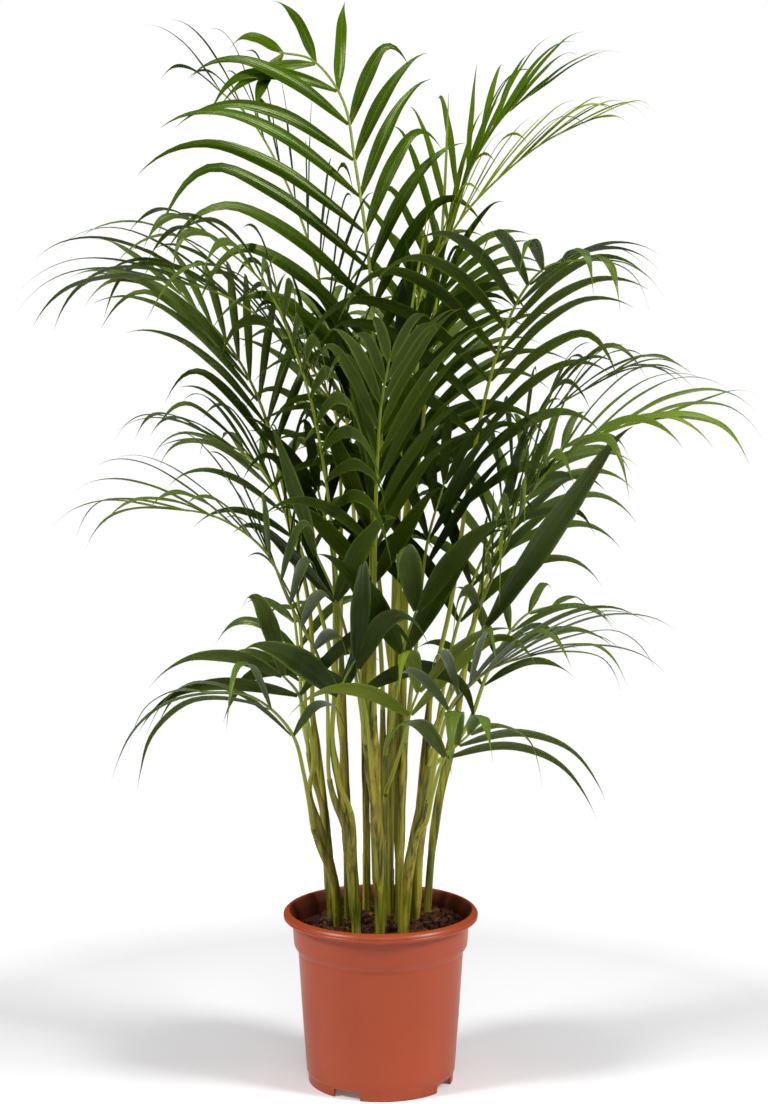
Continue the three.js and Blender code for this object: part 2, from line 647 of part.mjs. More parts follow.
// The first slight swing of the stalk that keeps it clear of what already stands.
function settleStalk(frond, index) {
  const random = stream(index + 11);
  for (let k = 0; k < DRAWS * 5; k++) {
    const size = k * 0.9;
    const turn = k * GOLDEN + random();
    const shift = vec(Math.cos(turn) * size, Math.sin(turn) * size, (random() - 0.5) * size);
    const frames = framesOf(frond, shift);
    if (isClear(stalkBody(frond, frames, MARGIN))) {
      place(stalkBody(frond, frames, 0), frond);
      return frames;
    }
  }
  throw new Error("frond " + (index + 1) + " crosses a neighbour");
}

// Whether a leaflet passes through itself or through the rest of its own frond.
function isTangled(leaflet, rest) {
  const boxes = leaflet.map((corners) => boxed(corners));
  const others = [...rest.map((corners) => boxed(corners)), ...boxes];
  return boxes.some((one) =>
    others.some((two) => {
      const apart = !one.corners.some((corner) => two.corners.includes(corner));
      return apart && two.box.intersectsBox(one.box) && cross(one.corners, two.corners);
    })
  );
}

// The first slight change of a leaflet that keeps it clear, or none where there is no room.
function settleLeaflet(frond, { frame, hand, ring }, random, rest) {
  for (let k = 0; k < DRAWS; k++) {
    const loose = 0.35 + k * 0.16;
    const draw = {
      open: (random() - 0.5) * 14 * loose,
      lift: (random() - 0.5) * 22 * loose,
      droop: 1 + (random() - 0.5) * 0.8 * loose,
      length: (1 - 0.1 * random()) * (k < 14 ? 1 : 1 - (k - 13) * 0.04),
    };
    const leaf = leafletLine(frond, frame, hand, draw);
    const settled = leafletTriangles(ring, leafletRings(leaf, frame.along), hand);
    const fatter = leafletRings(leaf, frame.along, MARGIN);
    const base = leafletRing(leaf.root, frame.along, leaf.normal, ROOT, MARGIN);
    const root = skin([base, fatter.rings[0]]);
    const clear = isClear([...settled, ...root], frond) && isClear(leafletBody(fatter));
    if (clear && !isTangled(settled, rest)) {
      place(settled, frond);
      return settled;
    }
  }
  return [ring];
}

function leafletBody(shape) {
  return skin([...shape.rings, shape.rings.at(-1).map(() => shape.tip)]);
}

// The stalk's skin, with each leaflet grown out of a triangle of its two upper sides.
function frondTriangles(frond, frames, index) {
  const random = stream(index * 7 + 3);
  const rings = frames.map((frame) => stalkRing(frame));
  const roots = [];
  const out = [];
  fan(out, rings[0], true);
  for (let i = 0; i + 1 < frames.length; i++) {
    const [left, ridge, right] = rings[i];
    const [farLeft, farRidge, farRight] = rings[i + 1];
    roots.push({ frame: frames[i], hand: 1, ring: [left, ridge, farLeft] });
    roots.push({ frame: frames[i], hand: -1, ring: [ridge, right, farRight] });
    out.push([ridge, farRidge, farLeft], [ridge, farRight, farRidge]);
    out.push([right, left, farLeft], [right, farLeft, farRight]);
  }
  closeTip(out, rings[rings.length - 1], frond, frames);
  roots.forEach((root) => {
    const bare = root.frame.pair === undefined;
    out.push(...(bare ? [root.ring] : settleLeaflet(frond, root, random, out)));
  });
  return out;
}

// Feathered stalks end flat between their last leaflets; spears run out to a point.
function closeTip(out, last, frond, frames) {
  if (frond.pairs) {
    fan(out, last, false);
    return;
  }
  const tip = spearTip(frames);
  for (let k = 0; k < 3; k++) out.push([last[k], last[(k + 1) % 3], tip]);
}

// --- the whole plant ------------------------------------------------------------------------------------

const group = new THREE.Group();

function add(name, geometry, colour, roughness) {
  geometry.computeVertexNormals();
  const material = new THREE.MeshStandardMaterial({ color: colour, roughness, metalness: 0 });
  const mesh = new THREE.Mesh(geometry, material);
  mesh.name = name;
  group.add(mesh);
}

const numbered = (word, i) => word + "_" + String(i + 1).padStart(2, "0");

add("pot", potGeometry(), 0xa34a2a, 0.45);
add("soil", soilGeometry(), 0x2b190f, 0.95);
CANES.forEach((cane, i) => {
  const triangles = caneTriangles(cane);
  place(triangles);
  add(numbered("cane", i), geometryOf(triangles), 0x9a8330, 0.5);
});
const stalks = FRONDS.map(settleStalk);
FRONDS.forEach((frond, i) => {
  const triangles = frondTriangles(frond, stalks[i], i);
  add(numbered("frond", i), geometryOf(triangles), frond.colour ?? LEAF_GREEN, 0.5);
});

export default group;
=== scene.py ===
"""The looks of a potted areca palm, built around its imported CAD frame: smooth feathered fronds, ringed
canes, crumbly soil and a thin moulded pot. The CAD solids give every leaflet, stalk and cane its place."""

import json
import math

import bmesh
import bpy
import numpy as np
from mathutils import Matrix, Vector, noise


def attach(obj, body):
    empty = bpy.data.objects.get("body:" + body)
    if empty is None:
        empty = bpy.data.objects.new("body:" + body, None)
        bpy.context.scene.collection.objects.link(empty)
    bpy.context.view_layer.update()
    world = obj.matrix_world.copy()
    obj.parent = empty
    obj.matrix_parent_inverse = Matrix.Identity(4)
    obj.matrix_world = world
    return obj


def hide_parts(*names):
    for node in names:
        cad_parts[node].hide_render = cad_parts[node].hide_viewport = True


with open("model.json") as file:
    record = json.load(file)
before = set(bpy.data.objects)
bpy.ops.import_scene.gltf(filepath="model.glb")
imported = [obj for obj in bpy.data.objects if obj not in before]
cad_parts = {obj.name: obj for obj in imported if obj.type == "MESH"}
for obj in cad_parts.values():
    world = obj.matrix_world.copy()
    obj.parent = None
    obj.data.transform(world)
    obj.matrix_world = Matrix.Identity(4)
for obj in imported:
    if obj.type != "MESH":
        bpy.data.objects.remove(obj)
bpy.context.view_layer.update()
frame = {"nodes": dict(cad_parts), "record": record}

MM = 0.001
SEED = 20
FULL_TURN = 2 * math.pi

# --- camera and light ---

CAMERA_AT = (0.0032, -2.5, 0.867)
CAMERA_PITCH = 7.83
LENS, SENSOR = 85.83, 36
# Each lamp's name, place, target, size and power.
LAMPS = (
    ("left", (-1.8, -0.95, 1.9), (0, 0, 0.4), 0.7, 50),
    ("right", (1.8, -0.95, 1.8), (0, 0, 0.4), 0.7, 54),
    ("front", (0.2, -2.4, 2.3), (0, 0, 0.5), 1.2, 14),
    ("top", (0.1, 0.5, 2.9), (0, 0, 0.6), 1.2, 14),
)
AMBIENT = 0.09
FLOOR_RADIUS, FLOOR_SIDES = 1.0, 160
FLOOR_COLOUR = (0.88, 0.88, 0.89, 1)
# The floor's glow grows between these distances from the axis, and from just behind it to just in front.
FADE_FROM, FADE_TO, FADE_GLOW = 0.5, 0.92, 0.62
FRONT_FROM, FRONT_TO, FRONT_GLOW = 0.05, -0.06, 0.13


def make_camera():
    data = bpy.data.cameras.new("camera")
    data.sensor_fit = "VERTICAL"
    data.sensor_height = SENSOR
    data.lens = LENS
    camera = bpy.data.objects.new("camera", data)
    camera.location = CAMERA_AT
    camera.rotation_euler = (math.radians(90 - CAMERA_PITCH), 0, 0)
    bpy.context.collection.objects.link(camera)
    bpy.context.scene.camera = camera


def make_lamp(name, place, target, size, power):
    data = bpy.data.lights.new(name, "AREA")
    data.shape = "DISK"
    data.size = size
    data.energy = power
    lamp = bpy.data.objects.new(name, data)
    lamp.location = place
    lamp.rotation_euler = (Vector(target) - Vector(place)).to_track_quat("-Z", "Y").to_euler()
    bpy.context.collection.objects.link(lamp)


def make_world():
    """Weak white light from all round, behind plain white."""
    world = bpy.data.worlds.new("studio")
    world.use_nodes = True
    tree = world.node_tree
    path = tree.nodes.new("ShaderNodeLightPath")
    strength = tree.nodes.new("ShaderNodeMapRange")
    strength.inputs["To Min"].default_value = AMBIENT
    background = tree.nodes["Background"]
    background.inputs["Color"].default_value = (1, 1, 1, 1)
    tree.links.new(path.outputs["Is Camera Ray"], strength.inputs["Value"])
    tree.links.new(strength.outputs[0], background.inputs["Strength"])
    bpy.context.scene.world = world


def make_floor():
    """A round pale floor that brightens to plain white well away from the plant."""
    bpy.ops.mesh.primitive_circle_add(vertices=FLOOR_SIDES, radius=FLOOR_RADIUS, fill_type="NGON")
    floor = bpy.context.object
    floor.name = "floor"
    p = Paint("floor")
    away = p.length(p.place())
    depth = p.part_of(p.place(), 1)
    front = p.span(depth, FRONT_FROM, FRONT_TO, 0.0, FRONT_GLOW)
    floor.data.materials.append(
        p.done(
            Base_Color=FLOOR_COLOUR,
            Roughness=0.9,
            Specular_IOR_Level=0.1,
            Emission_Color=(1, 1, 1, 1),
            Emission_Strength=p.plus(p.times(p.span(away, FADE_FROM, FADE_TO), FADE_GLOW), front),
        )
    )


def make_studio():
    make_world()
    make_floor()
    for lamp in LAMPS:
        make_lamp(*lamp)
    view = bpy.context.scene.view_settings
    view.view_transform = "Standard"
    view.look = "None"


# --- reading the CAD solids ---

WELD = 2e-5
# How far a stalk's middle lies above its underside, in widths, and the width of a spear's point.
STALK_MIDDLE, SPEAR_POINT = 0.266, 0.2 * MM
# A leaflet's width at its foot and at the solid's tip, as shares of its greatest width.
LEAF_FOOT, LEAF_END = 0.28, 0.11
TAIL = 11 * MM
TAIL_DROOP = 0.35
RING_GAP = 12 * MM


def unit(v):
    return v / np.maximum(np.linalg.norm(v, axis=-1, keepdims=True), 1e-12)


def welded(name):
    """A node's vertices with duplicates merged, and its triangles."""
    mesh = bmesh.new()
    mesh.from_mesh(frame["nodes"][name].data)
    bmesh.ops.remove_doubles(mesh, verts=mesh.verts, dist=WELD)
    bmesh.ops.triangulate(mesh, faces=mesh.faces)
    mesh.verts.index_update()
    points = np.array([v.co for v in mesh.verts])
    faces = [tuple(v.index for v in f.verts) for f in mesh.faces]
    mesh.free()
    return points, faces


def neighbours_of(count, faces):
    near = [set() for _ in range(count)]
    for face in faces:
        for corner in face:
            near[corner].update(face)
    return [group - {i} for i, group in enumerate(near)]


def rings_from(start, near, allowed):
    """Rings of three vertices, one after another, from a first one up to where the solid widens."""
    rings = [sorted(start)]
    seen = set(start)
    while True:
        ring = set().union(*(near[v] for v in rings[-1])) - seen
        ring = {v for v in ring if v in allowed}
        if len(ring) != 3:
            return rings
        rings.append(sorted(ring))
        seen |= ring


def ridge_first(ring, points):
    """The ring's corners with the one across from its longest side first."""
    far = [np.linalg.norm(points[ring[(k + 1) % 3]] - points[ring[(k + 2) % 3]]) for k in range(3)]
    k = int(np.argmax(far))
    return ring[k], ring[(k + 1) % 3], ring[(k + 2) % 3]


def is_tip(point, group, points):
    """A blade's tip lies about as far from each of its three neighbours."""
    far = [np.linalg.norm(points[v] - points[point]) for v in group]
    return len(far) == 3 and max(far) < 2 * min(far)


def girth(face, points):
    return sum(np.linalg.norm(points[face[k]] - points[face[k - 1]]) for k in range(3))


def stalk_line(rings, points, tip):
    """A stalk's middle line, upward directions and widths, from its foot to its end."""
    line, ups, widths = [], [], []
    for ring in rings:
        ridge, one, two = ridge_first(ring, points)
        low = (points[one] + points[two]) / 2
        width = np.linalg.norm(points[one] - points[two])
        up = unit(points[ridge] - low)
        line.append(low + up * width * STALK_MIDDLE)
        ups.append(up)
        widths.append(width)
    if tip is not None:
        line.append(tip)
        ups.append(ups[-1])
        widths.append(SPEAR_POINT)
    return np.array(line), np.array(ups), np.array(widths)


def leaflet_line(root, rings, tip, points):
    """A leaflet's midrib, normals and widths, with a fine tail beyond the solid's tip."""
    line, widths, normals = [points[root].mean(axis=0)], [], []
    for ring in rings:
        ridge, one, two = ridge_first(ring, points)
        middle = (points[one] + points[two]) / 2
        line.append(middle)
        widths.append(np.linalg.norm(points[two] - points[one]))
        normals.append(unit(points[ridge] - middle))
    line.append(points[tip])
    tail = unit(line[-1] - line[-2]) * TAIL
    line.append(line[-1] + tail - np.array([0, 0, TAIL_DROOP * TAIL]))
    return {
        "points": np.array(line),
        "normals": np.array([normals[0], *normals, normals[-1], normals[-1]]),
        "widths": np.array([LEAF_FOOT * max(widths), *widths, LEAF_END * max(widths), 0.0]),
    }


def read_frond(name):
    """The stalk's line and the line of each leaflet, read from one frond's solid. A spear has none."""
    points, faces = welded(name)
    near = neighbours_of(len(points), faces)
    everything = set(range(len(points)))
    leaflets, used = [], set()
    for tip in [i for i, group in enumerate(near) if is_tip(i, group, points)]:
        rings = rings_from(near[tip], near, everything - {tip})
        if 3 * len(rings) + 1 == len(points):
            return {"stalk": stalk_line(rings[::-1], points, points[tip]), "leaflets": []}
        root = rings.pop()
        used |= {tip}.union(*rings)
        leaflets.append(leaflet_line(root, rings[::-1], tip, points))
    rest = everything - used
    end = min((face for face in faces if rest.issuperset(face)), key=lambda face: girth(face, points))
    rings = rings_from(end, near, rest)[::-1]
    leaflets.sort(key=lambda leaf: tuple(np.round(leaf["points"][0], 5)))
    return {"stalk": stalk_line(rings, points, None), "leaflets": leaflets}


def read_cane(name):
    """Centre and radius of each ring up a cane."""
    points, _ = welded(name)
    points = points[np.argsort(points[:, 2])]
    breaks = np.flatnonzero(np.diff(points[:, 2]) > RING_GAP) + 1
    rings = np.split(points, breaks)
    centres = np.array([ring.mean(axis=0) for ring in rings])
    radii = np.array([np.linalg.norm(ring - ring.mean(axis=0), axis=1).max() for ring in rings])
    return centres, radii


# --- smooth lines ---


def slopes_at_knots(rise, gaps, steady):
    """The curve's slope at each knot, from its rise between each pair of them."""
    slopes = np.empty((len(rise) + 1, rise.shape[1]))
    slopes[0], slopes[-1] = rise[0], rise[-1]
    before, after = rise[:-1], rise[1:]
    if steady:
        total = np.where(np.abs(before + after) < 1e-9, 1, before + after)
        slopes[1:-1] = np.where(before * after > 0, 2 * before * after / total, 0)
    else:
        slopes[1:-1] = (before * gaps[1:] + after * gaps[:-1]) / (gaps[1:] + gaps[:-1])
        slopes[0] = 1.5 * rise[0] - 0.5 * slopes[1]
        slopes[-1] = 1.5 * rise[-1] - 0.5 * slopes[-2]
    return slopes


def through(knots, values, at, steady=False):
    """A smooth curve through values at knots. A steady one never overshoots them."""
    flat = values.ndim == 1
    if flat:
        values = values[:, None]
    gaps = np.diff(knots)[:, None]
    slopes = slopes_at_knots(np.diff(values, axis=0) / gaps, gaps, steady)
    i = np.clip(np.searchsorted(knots, at, side="right") - 1, 0, len(knots) - 2)
    gap = gaps[i]
    t = ((at - knots[i]) / gap[:, 0])[:, None]
    out = (
        values[i] * (1 + 2 * t) * (1 - t) ** 2
        + slopes[i] * gap * t * (1 - t) ** 2
        + values[i + 1] * t * t * (3 - 2 * t)
        + slopes[i + 1] * gap * t * t * (t - 1)
    )
    return out[:, 0] if flat else out


def ease(value, low, high):
    t = np.clip((value - low) / (high - low), 0, 1)
    return t * t * (3 - 2 * t)


def lengths_along(line):
    return np.concatenate([[0], np.cumsum(np.linalg.norm(np.diff(line, axis=0), axis=1))])


def headings(line):
    return unit(np.gradient(line, axis=0))


def square_to(way, up):
    """Upward directions made square to the way, and the sideways ones that go with them."""
    up = unit(up - way * np.sum(up * way, axis=1, keepdims=True))
    return up, np.cross(way, up)


def turns_round(count):
    return np.linspace(0, FULL_TURN, count, endpoint=False)


# --- building pieces ---


class Shell:
    """Gathers the skins of one piece, with four marks on each vertex for its materials to read."""

    def __init__(self):
        self.points, self.faces, self.marks, self.slots = [], [], [], []
        self.count = 0

    def add(self, points, faces, marks, slot):
        if volume_of(points, faces) < 0:
            faces = [face[::-1] for face in faces]
        self.points.append(points)
        self.marks.append(marks)
        self.faces.extend(tuple(v + self.count for v in face) for face in faces)
        self.slots.extend([slot] * len(faces))
        self.count += len(points)

    def tube(self, rings, marks, slot=0):
        """rings is (steps, around, 3), closed round and capped at both ends."""
        steps, around = rings.shape[:2]
        self.add(rings.reshape(-1, 3), tube_faces(steps, around), marks.reshape(-1, 4), slot)

    def build(self, name, materials, sharp=45):
        mesh = bpy.data.meshes.new(name)
        mesh.from_pydata(np.concatenate(self.points).tolist(), [], self.faces)
        marks = mesh.attributes.new("mark", "FLOAT_COLOR", "POINT")
        marks.data.foreach_set("color", np.concatenate(self.marks).astype(np.float32).ravel())
        mesh.polygons.foreach_set("material_index", self.slots)
        mesh.polygons.foreach_set("use_smooth", [True] * len(mesh.polygons))
        mesh.set_sharp_from_angle(angle=math.radians(sharp))
        for material in materials:
            mesh.materials.append(material)
        piece = bpy.data.objects.new(name, mesh)
        bpy.context.collection.objects.link(piece)
        return piece


def volume_of(points, faces):
    """Only its sign is used: it is below 0 for a skin that is inside out."""
    corners = points[np.array([face[:3] for face in faces])]
    corners = corners - points.mean(axis=0)
    total = np.einsum("ij,ij->i", corners[:, 0], np.cross(corners[:, 1], corners[:, 2]))
    return total.sum()


def side_faces(steps, around):
    faces = []
    for i in range(steps - 1):
        for k in range(around):
            a, b = i * around + k, i * around + (k + 1) % around
            faces.append((a, b, b + around, a + around))
    return faces


def tube_faces(steps, around):
    last = (steps - 1) * around
    caps = [tuple(range(around))[::-1], tuple(range(last, last + around))]
    return side_faces(steps, around) + caps


def marks_for(shape, *values):
    """The four marks of each vertex. Each value fits the shape, or is one number for the whole skin."""
    marks = np.empty((*shape, 4))
    for i, value in enumerate(values):
        marks[..., i] = value
    return marks


# --- fronds ---

# Places across a blade, from edge to edge, and the steps along it. Its steps crowd towards its tip.
ACROSS = np.array([-1, -0.5, 0, 0.5, 1])
ACROSS_BROAD = np.array([-1, -0.72, -0.45, -0.2, 0, 0.2, 0.45, 0.72, 1])
BROAD = 17 * MM
STEPS, STEPS_BROAD, CROWDING = 20, 26, 0.92
# The blade's width against the solid's, and how its last part draws in to a point.
SLIM, FULL, TAPER = 0.87, 1.0, 0.26
POINT_END, POINT_LONG, POINT_LEAST, POINT_ROUND = 1.02, 0.07, 0.05, 0.6
TIP_WIDTH = 0.08 * MM
# Its thickness, which is more at the midrib and less where the blade is narrow.
BLADE_THICKNESS = 0.34 * MM
RIB_SWELL, RIB_HALF = 0.9, 0.16
THICK_FROM, THIN_LEAST = 5 * MM, 0.12
# How it bends: down at its end, round its own line, from side to side, along its midrib and at its edges.
CURL_FROM, CURL_LEAST, CURL_SPREAD = 0.6, 0.1, 1.9
TWIST, TWIST_LATE = 0.9, 1.5
SWAY, RIPPLE, RIPPLE_TURNS = 8 * MM, 1.1 * MM, 5
FOLD, FOLD_FOOT, FOLD_FADE, FOLD_SPREAD = 0.16, 0.42, 7, 0.06
WAVE, WAVE_LONG = 0.05, 11 * MM
PLEAT, PLEATS = 0.035, 9
PHASES = 6
# The stalk's steps, its round section with a channel above, and how it widens to clasp the cane.
STALK_STEP, STALK_SIDES = 6 * MM, 10
STALK_FLAT = 0.86
CHANNEL_FROM, CHANNEL_FLAT, CHANNEL_LIFT = 0.35, 0.62, 0.1
CLASP, CLASP_FADE = 0.45, 14 * MM
REACH = 300 * MM
# How light the leaves of some fronds are: 0 dark, 1 light, more for fresh growth. The others draw theirs.
TINTS = {
    "frond_01": 0.62,
    "frond_03": 0.95,
    "frond_04": 1.25,
    # frond_12 and frond_28 stand in front of the crown's middle; their low values are painted shade.
    "frond_12": 0.1,
    "frond_13": 1.2,
    "frond_20": 1.5,
    "frond_28": 0.3,
    "frond_29": 1.15,
}
TINT_LEAST, TINT_SPREAD = 0.1, 0.5
FROND_SHARE, LEAFLET_SHARE = 0.6, 0.4


def curled(line, t, amount):
    """The same line with its last part bent down, at the same length."""
    step = np.diff(line, axis=0)
    size = np.linalg.norm(step, axis=1, keepdims=True)
    bend = amount * ease(t[1:], CURL_FROM, 1)
    way = unit(step / size - bend[:, None] * np.array([0, 0, 1.0]))
    return line[0] + np.concatenate([np.zeros((1, 3)), np.cumsum(way * size, axis=0)])


def blade_width(leaf, run, at, t, broad):
    width = through(run, leaf["widths"], at, steady=True) * ((FULL if broad else SLIM) - TAPER * t**2)
    point = np.clip((POINT_END - t) / POINT_LONG, POINT_LEAST, 1) ** POINT_ROUND
    return np.maximum(width * point, TIP_WIDTH)


def twisted(side, up, twist):
    """Both directions turned round the blade's line."""
    cos, sin = np.cos(twist)[:, None], np.sin(twist)[:, None]
    return side * cos + up * sin, up * cos - side * sin


def blade_skin(centre, side, up, width, fold, wave, spread):
    """A ring at each step: over the upper face from edge to edge, and back under the lower one."""
    half = width / 2
    drop = np.abs(spread)[None, :] * (half * (fold + wave))[:, None]
    if spread is ACROSS_BROAD:
        drop += (np.cos(spread * PLEATS) * PLEAT)[None, :] * half[:, None]
    out = half[:, None] * spread[None, :] * np.cos(fold)[:, None]
    top = centre[:, None] + side[:, None] * out[..., None] - up[:, None] * drop[..., None]
    within = spread[1:-1]
    body = BLADE_THICKNESS * (1 - within**2) * (1 + RIB_SWELL * np.exp(-((within / RIB_HALF) ** 2)))
    thick = body[None, :] * np.clip(width / THICK_FROM, THIN_LEAST, 1)[:, None]
    low = top[:, 1:-1] - up[:, None] * thick[..., None]
    return np.concatenate([top, low[:, ::-1]], axis=1)


def blade(shell, leaf, draw, tint):
    """One leaflet: folded along its midrib near the stalk, then flatter, with a fine hanging tip."""
    broad = leaf["widths"].max() > BROAD
    spread = ACROSS_BROAD if broad else ACROSS
    run = lengths_along(leaf["points"])
    t = np.linspace(0, 1, STEPS_BROAD if broad else STEPS) ** CROWDING
    at = t * run[-1]
    curl = CURL_LEAST + CURL_SPREAD * draw.random() ** 3
    centre = curled(through(run, leaf["points"], at), t, curl)
    up, side = square_to(headings(centre), through(run, leaf["normals"], at))
    side, up = twisted(side, up, (draw.random() - 0.5) * TWIST * t**TWIST_LATE)
    sway = (draw.random() - 0.5) * SWAY * t**2
    sway = sway + np.sin(t * RIPPLE_TURNS + draw.random() * PHASES) * t * RIPPLE
    centre = centre + side * sway[:, None]
    fold = FOLD + FOLD_FOOT * np.exp(-t * FOLD_FADE) + FOLD_SPREAD * draw.random()
    wave = np.sin(at / WAVE_LONG + draw.random() * PHASES) * WAVE
    rings = blade_skin(centre, side, up, blade_width(leaf, run, at, t, broad), fold, wave, spread)
    from_rib = np.abs(np.concatenate([spread, spread[1:-1]]))
    under = np.concatenate([np.zeros(len(spread)), np.ones(len(spread) - 2)])
    shade = FROND_SHARE * tint + LEAFLET_SHARE * draw.random()
    shell.tube(rings, marks_for(rings.shape[:2], shade, t[:, None], from_rib, under))


def stalk_section():
    """Round below and channelled above, in halves of the stalk's width."""
    turn = turns_round(STALK_SIDES) + math.pi / STALK_SIDES
    x, y = np.cos(turn), STALK_FLAT * np.sin(turn)
    return x, np.where(y > CHANNEL_FROM, y * CHANNEL_FLAT + CHANNEL_LIFT, y)


def clasp_at(at):
    """How much wider than its own width a stalk is, so far from its foot."""
    return CLASP * np.exp(-at / CLASP_FADE)


def stalk(shell, line, ups, widths, draw):
    run = lengths_along(line)
    at = np.append(np.arange(0, run[-1], STALK_STEP), run[-1])
    centre = through(run, line, at)
    up, side = square_to(headings(centre), through(run, ups, at))
    x, y = stalk_section()
    half = through(run, widths, at, steady=True)[:, None] / 2
    out = side[:, None] * (half * (1 + clasp_at(at)[:, None]) * x)[..., None]
    rings = centre[:, None] + out + up[:, None] * (half * y)[..., None]
    marks = marks_for(rings.shape[:2], draw.random(), (at / run[-1])[:, None], (at / REACH)[:, None], 0)
    shell.tube(rings, marks, 1)


def make_frond(name, parts, leaf_skin, stalk_skin):
    draw = np.random.default_rng(SEED + int(name.split("_")[1]))
    shell = Shell()
    stalk(shell, *parts["stalk"], draw)
    tint = TINTS.get(name, TINT_LEAST + TINT_SPREAD * draw.random())
    for leaf in parts["leaflets"]:
        blade(shell, leaf, draw, tint)
    return shell.build(name.replace("frond", "palm_frond"), [leaf_skin, stalk_skin])


# --- canes ---

CANE_SEED = SEED + 100
CANE_SIDES, CANE_STEP = 24, 1.8 * MM
CANE_BURIED = 12 * MM
CANE_SLIM = 0.87
CANE_SHARP = 50
FOOT_SWELL, FOOT_FADE = 0.12, 12 * MM
OUT_OF_ROUND = 0.05
# Old sheaths: their lengths, the slant of their tops, how far each turns from the last, and their edges.
SHEATH_SHORTEST, SHEATH_SPREAD = 62 * MM, 60 * MM
SHEATH_START = 8 * MM
SLANT = 5 * MM
SHEATH_TURN, SHEATH_SPIRAL = 2.4, 4
FLARE, OVERLAP = 0.07, 0.16
DRY_BAND = 7 * MM
# Live sheaths: lengths along the frond from its foot, and thickness, which grows with each one outside.
WRAP_LONG, WRAP_BEYOND, WRAP_STRIDE = 96 * MM, 34 * MM, 2 * MM
WRAP_UNDER, WRAP_OVER = 42 * MM, 14 * MM
DRAW_IN_FROM, DRAW_IN_TO = -WRAP_UNDER * 0.7, WRAP_OVER + 8 * MM
WRAP_THICK, WRAP_STEP, WRAP_LEAD, WRAP_SUNK = 0.7 * MM, 0.5 * MM, 30 * MM, 0.3 * MM
WRAP_SLIM, WRAP_LOOSE = 0.93, 1.02
WRAP_SPIRAL, WRAP_OVERLAP = 5, 0.06
WRAP_ALONG = 0.6
WRAP_DRY, WRAP_DRY_AT, WRAP_DRY_LONG = 0.45, 14 * MM, 20 * MM


def rings_round(line, out, turn):
    """A ring round each point of a line, with its own distance out at each turn."""
    way = headings(line)
    side = unit(np.cross(way, np.array([0.0, 1.0, 0.0])))
    other = np.cross(way, side)
    rings = line[:, None] + side[:, None] * (out * np.cos(turn))[..., None]
    return rings + other[:, None] * (out * np.sin(turn))[..., None]


def rolled(turn):
    """How far round its roll a sheath is: 0 at its inner edge, near 1 at its outer one."""
    return (turn / FULL_TURN) % 1


def sheath_tops(draw, length):
    """Heights at which one old leaf sheath ends and the next one shows."""
    tops = [0.0]
    while tops[-1] < length + SHEATH_SHORTEST:
        tops.append(tops[-1] + SHEATH_SHORTEST + SHEATH_SPREAD * draw.random())
    return np.array(tops)


def old_sheaths(above, turn, phase, tops):
    """How far up its sheath each point of a cane is, how far round it, and how dry."""
    height = above[:, None] + SHEATH_START - SLANT * np.cos(turn - phase)[None, :]
    index = np.searchsorted(tops, height, side="right") - 1
    since = (height - tops[index]) / (tops[index + 1] - tops[index])
    wrap = rolled(turn[None, :] - phase - SHEATH_TURN * index + SHEATH_SPIRAL * above[:, None])
    dry = np.exp(-(((tops[index + 1] - height) / DRY_BAND) ** 2))
    return since, wrap, dry


def cane_core(shell, centres, radii, draw):
    """The cane as a stack of old sheaths, each rolled round it with one edge over the other."""
    run = lengths_along(centres)
    start = SOIL_LEVEL - CANE_BURIED - centres[0][2]
    at = np.arange(start, run[-1], CANE_STEP)
    above = at - start
    turn = turns_round(CANE_SIDES)
    phase = draw.random() * FULL_TURN
    since, wrap, dry = old_sheaths(above, turn, phase, sheath_tops(draw, above[-1]))
    radius = through(run, radii, at, steady=True)
    out = radius[:, None] * (CANE_SLIM + FLARE * since + OVERLAP * (wrap - 0.5))
    out *= 1 + FOOT_SWELL * np.exp(-above / FOOT_FADE)[:, None]
    out *= 1 + OUT_OF_ROUND * np.cos(2 * turn + phase)[None, :]
    rings = rings_round(through(run, centres, at), out, turn)
    shell.tube(rings, marks_for(rings.shape[:2], draw.random(), (above / above[-1])[:, None], dry, wrap))


def nearest_run(line, point):
    """How far along a line its nearest point to another one lies."""
    run = lengths_along(line)
    at = np.arange(0, run[-1], 1 * MM)
    return at[np.argmin(np.linalg.norm(through(run, line, at) - point, axis=1))]


def stretched(line, at):
    """Points along a line, which goes on straight before its start and beyond its end."""
    run = lengths_along(line)
    inside = np.clip(at, 0, run[-1])
    points = through(run, line, inside)
    way = headings(through(run, line, np.linspace(0, run[-1], 200)))
    end = np.where((at < 0)[:, None], way[0], way[-1])
    return points + end * (at - inside)[:, None]


def sheath_radius(cane, stalk_parts, foot, rank, at):
    """The cane's own radius and a bit more at first, and the stalk's in the end."""
    centres, radii = cane
    line, _, widths = stalk_parts
    run = lengths_along(centres)
    thick = (WRAP_THICK + WRAP_STEP * rank) * ease(at, -WRAP_LONG, -WRAP_LONG + WRAP_LEAD) - WRAP_SUNK
    round_cane = through(run, radii, np.clip(foot + at, 0, run[-1]), steady=True) * WRAP_SLIM + thick
    beyond = np.clip(at, 0, None)
    half = through(lengths_along(line), widths, beyond, steady=True) / 2
    round_stalk = half * (WRAP_LOOSE + clasp_at(beyond))
    return round_cane + (round_stalk - round_cane) * ease(at, DRAW_IN_FROM, DRAW_IN_TO)


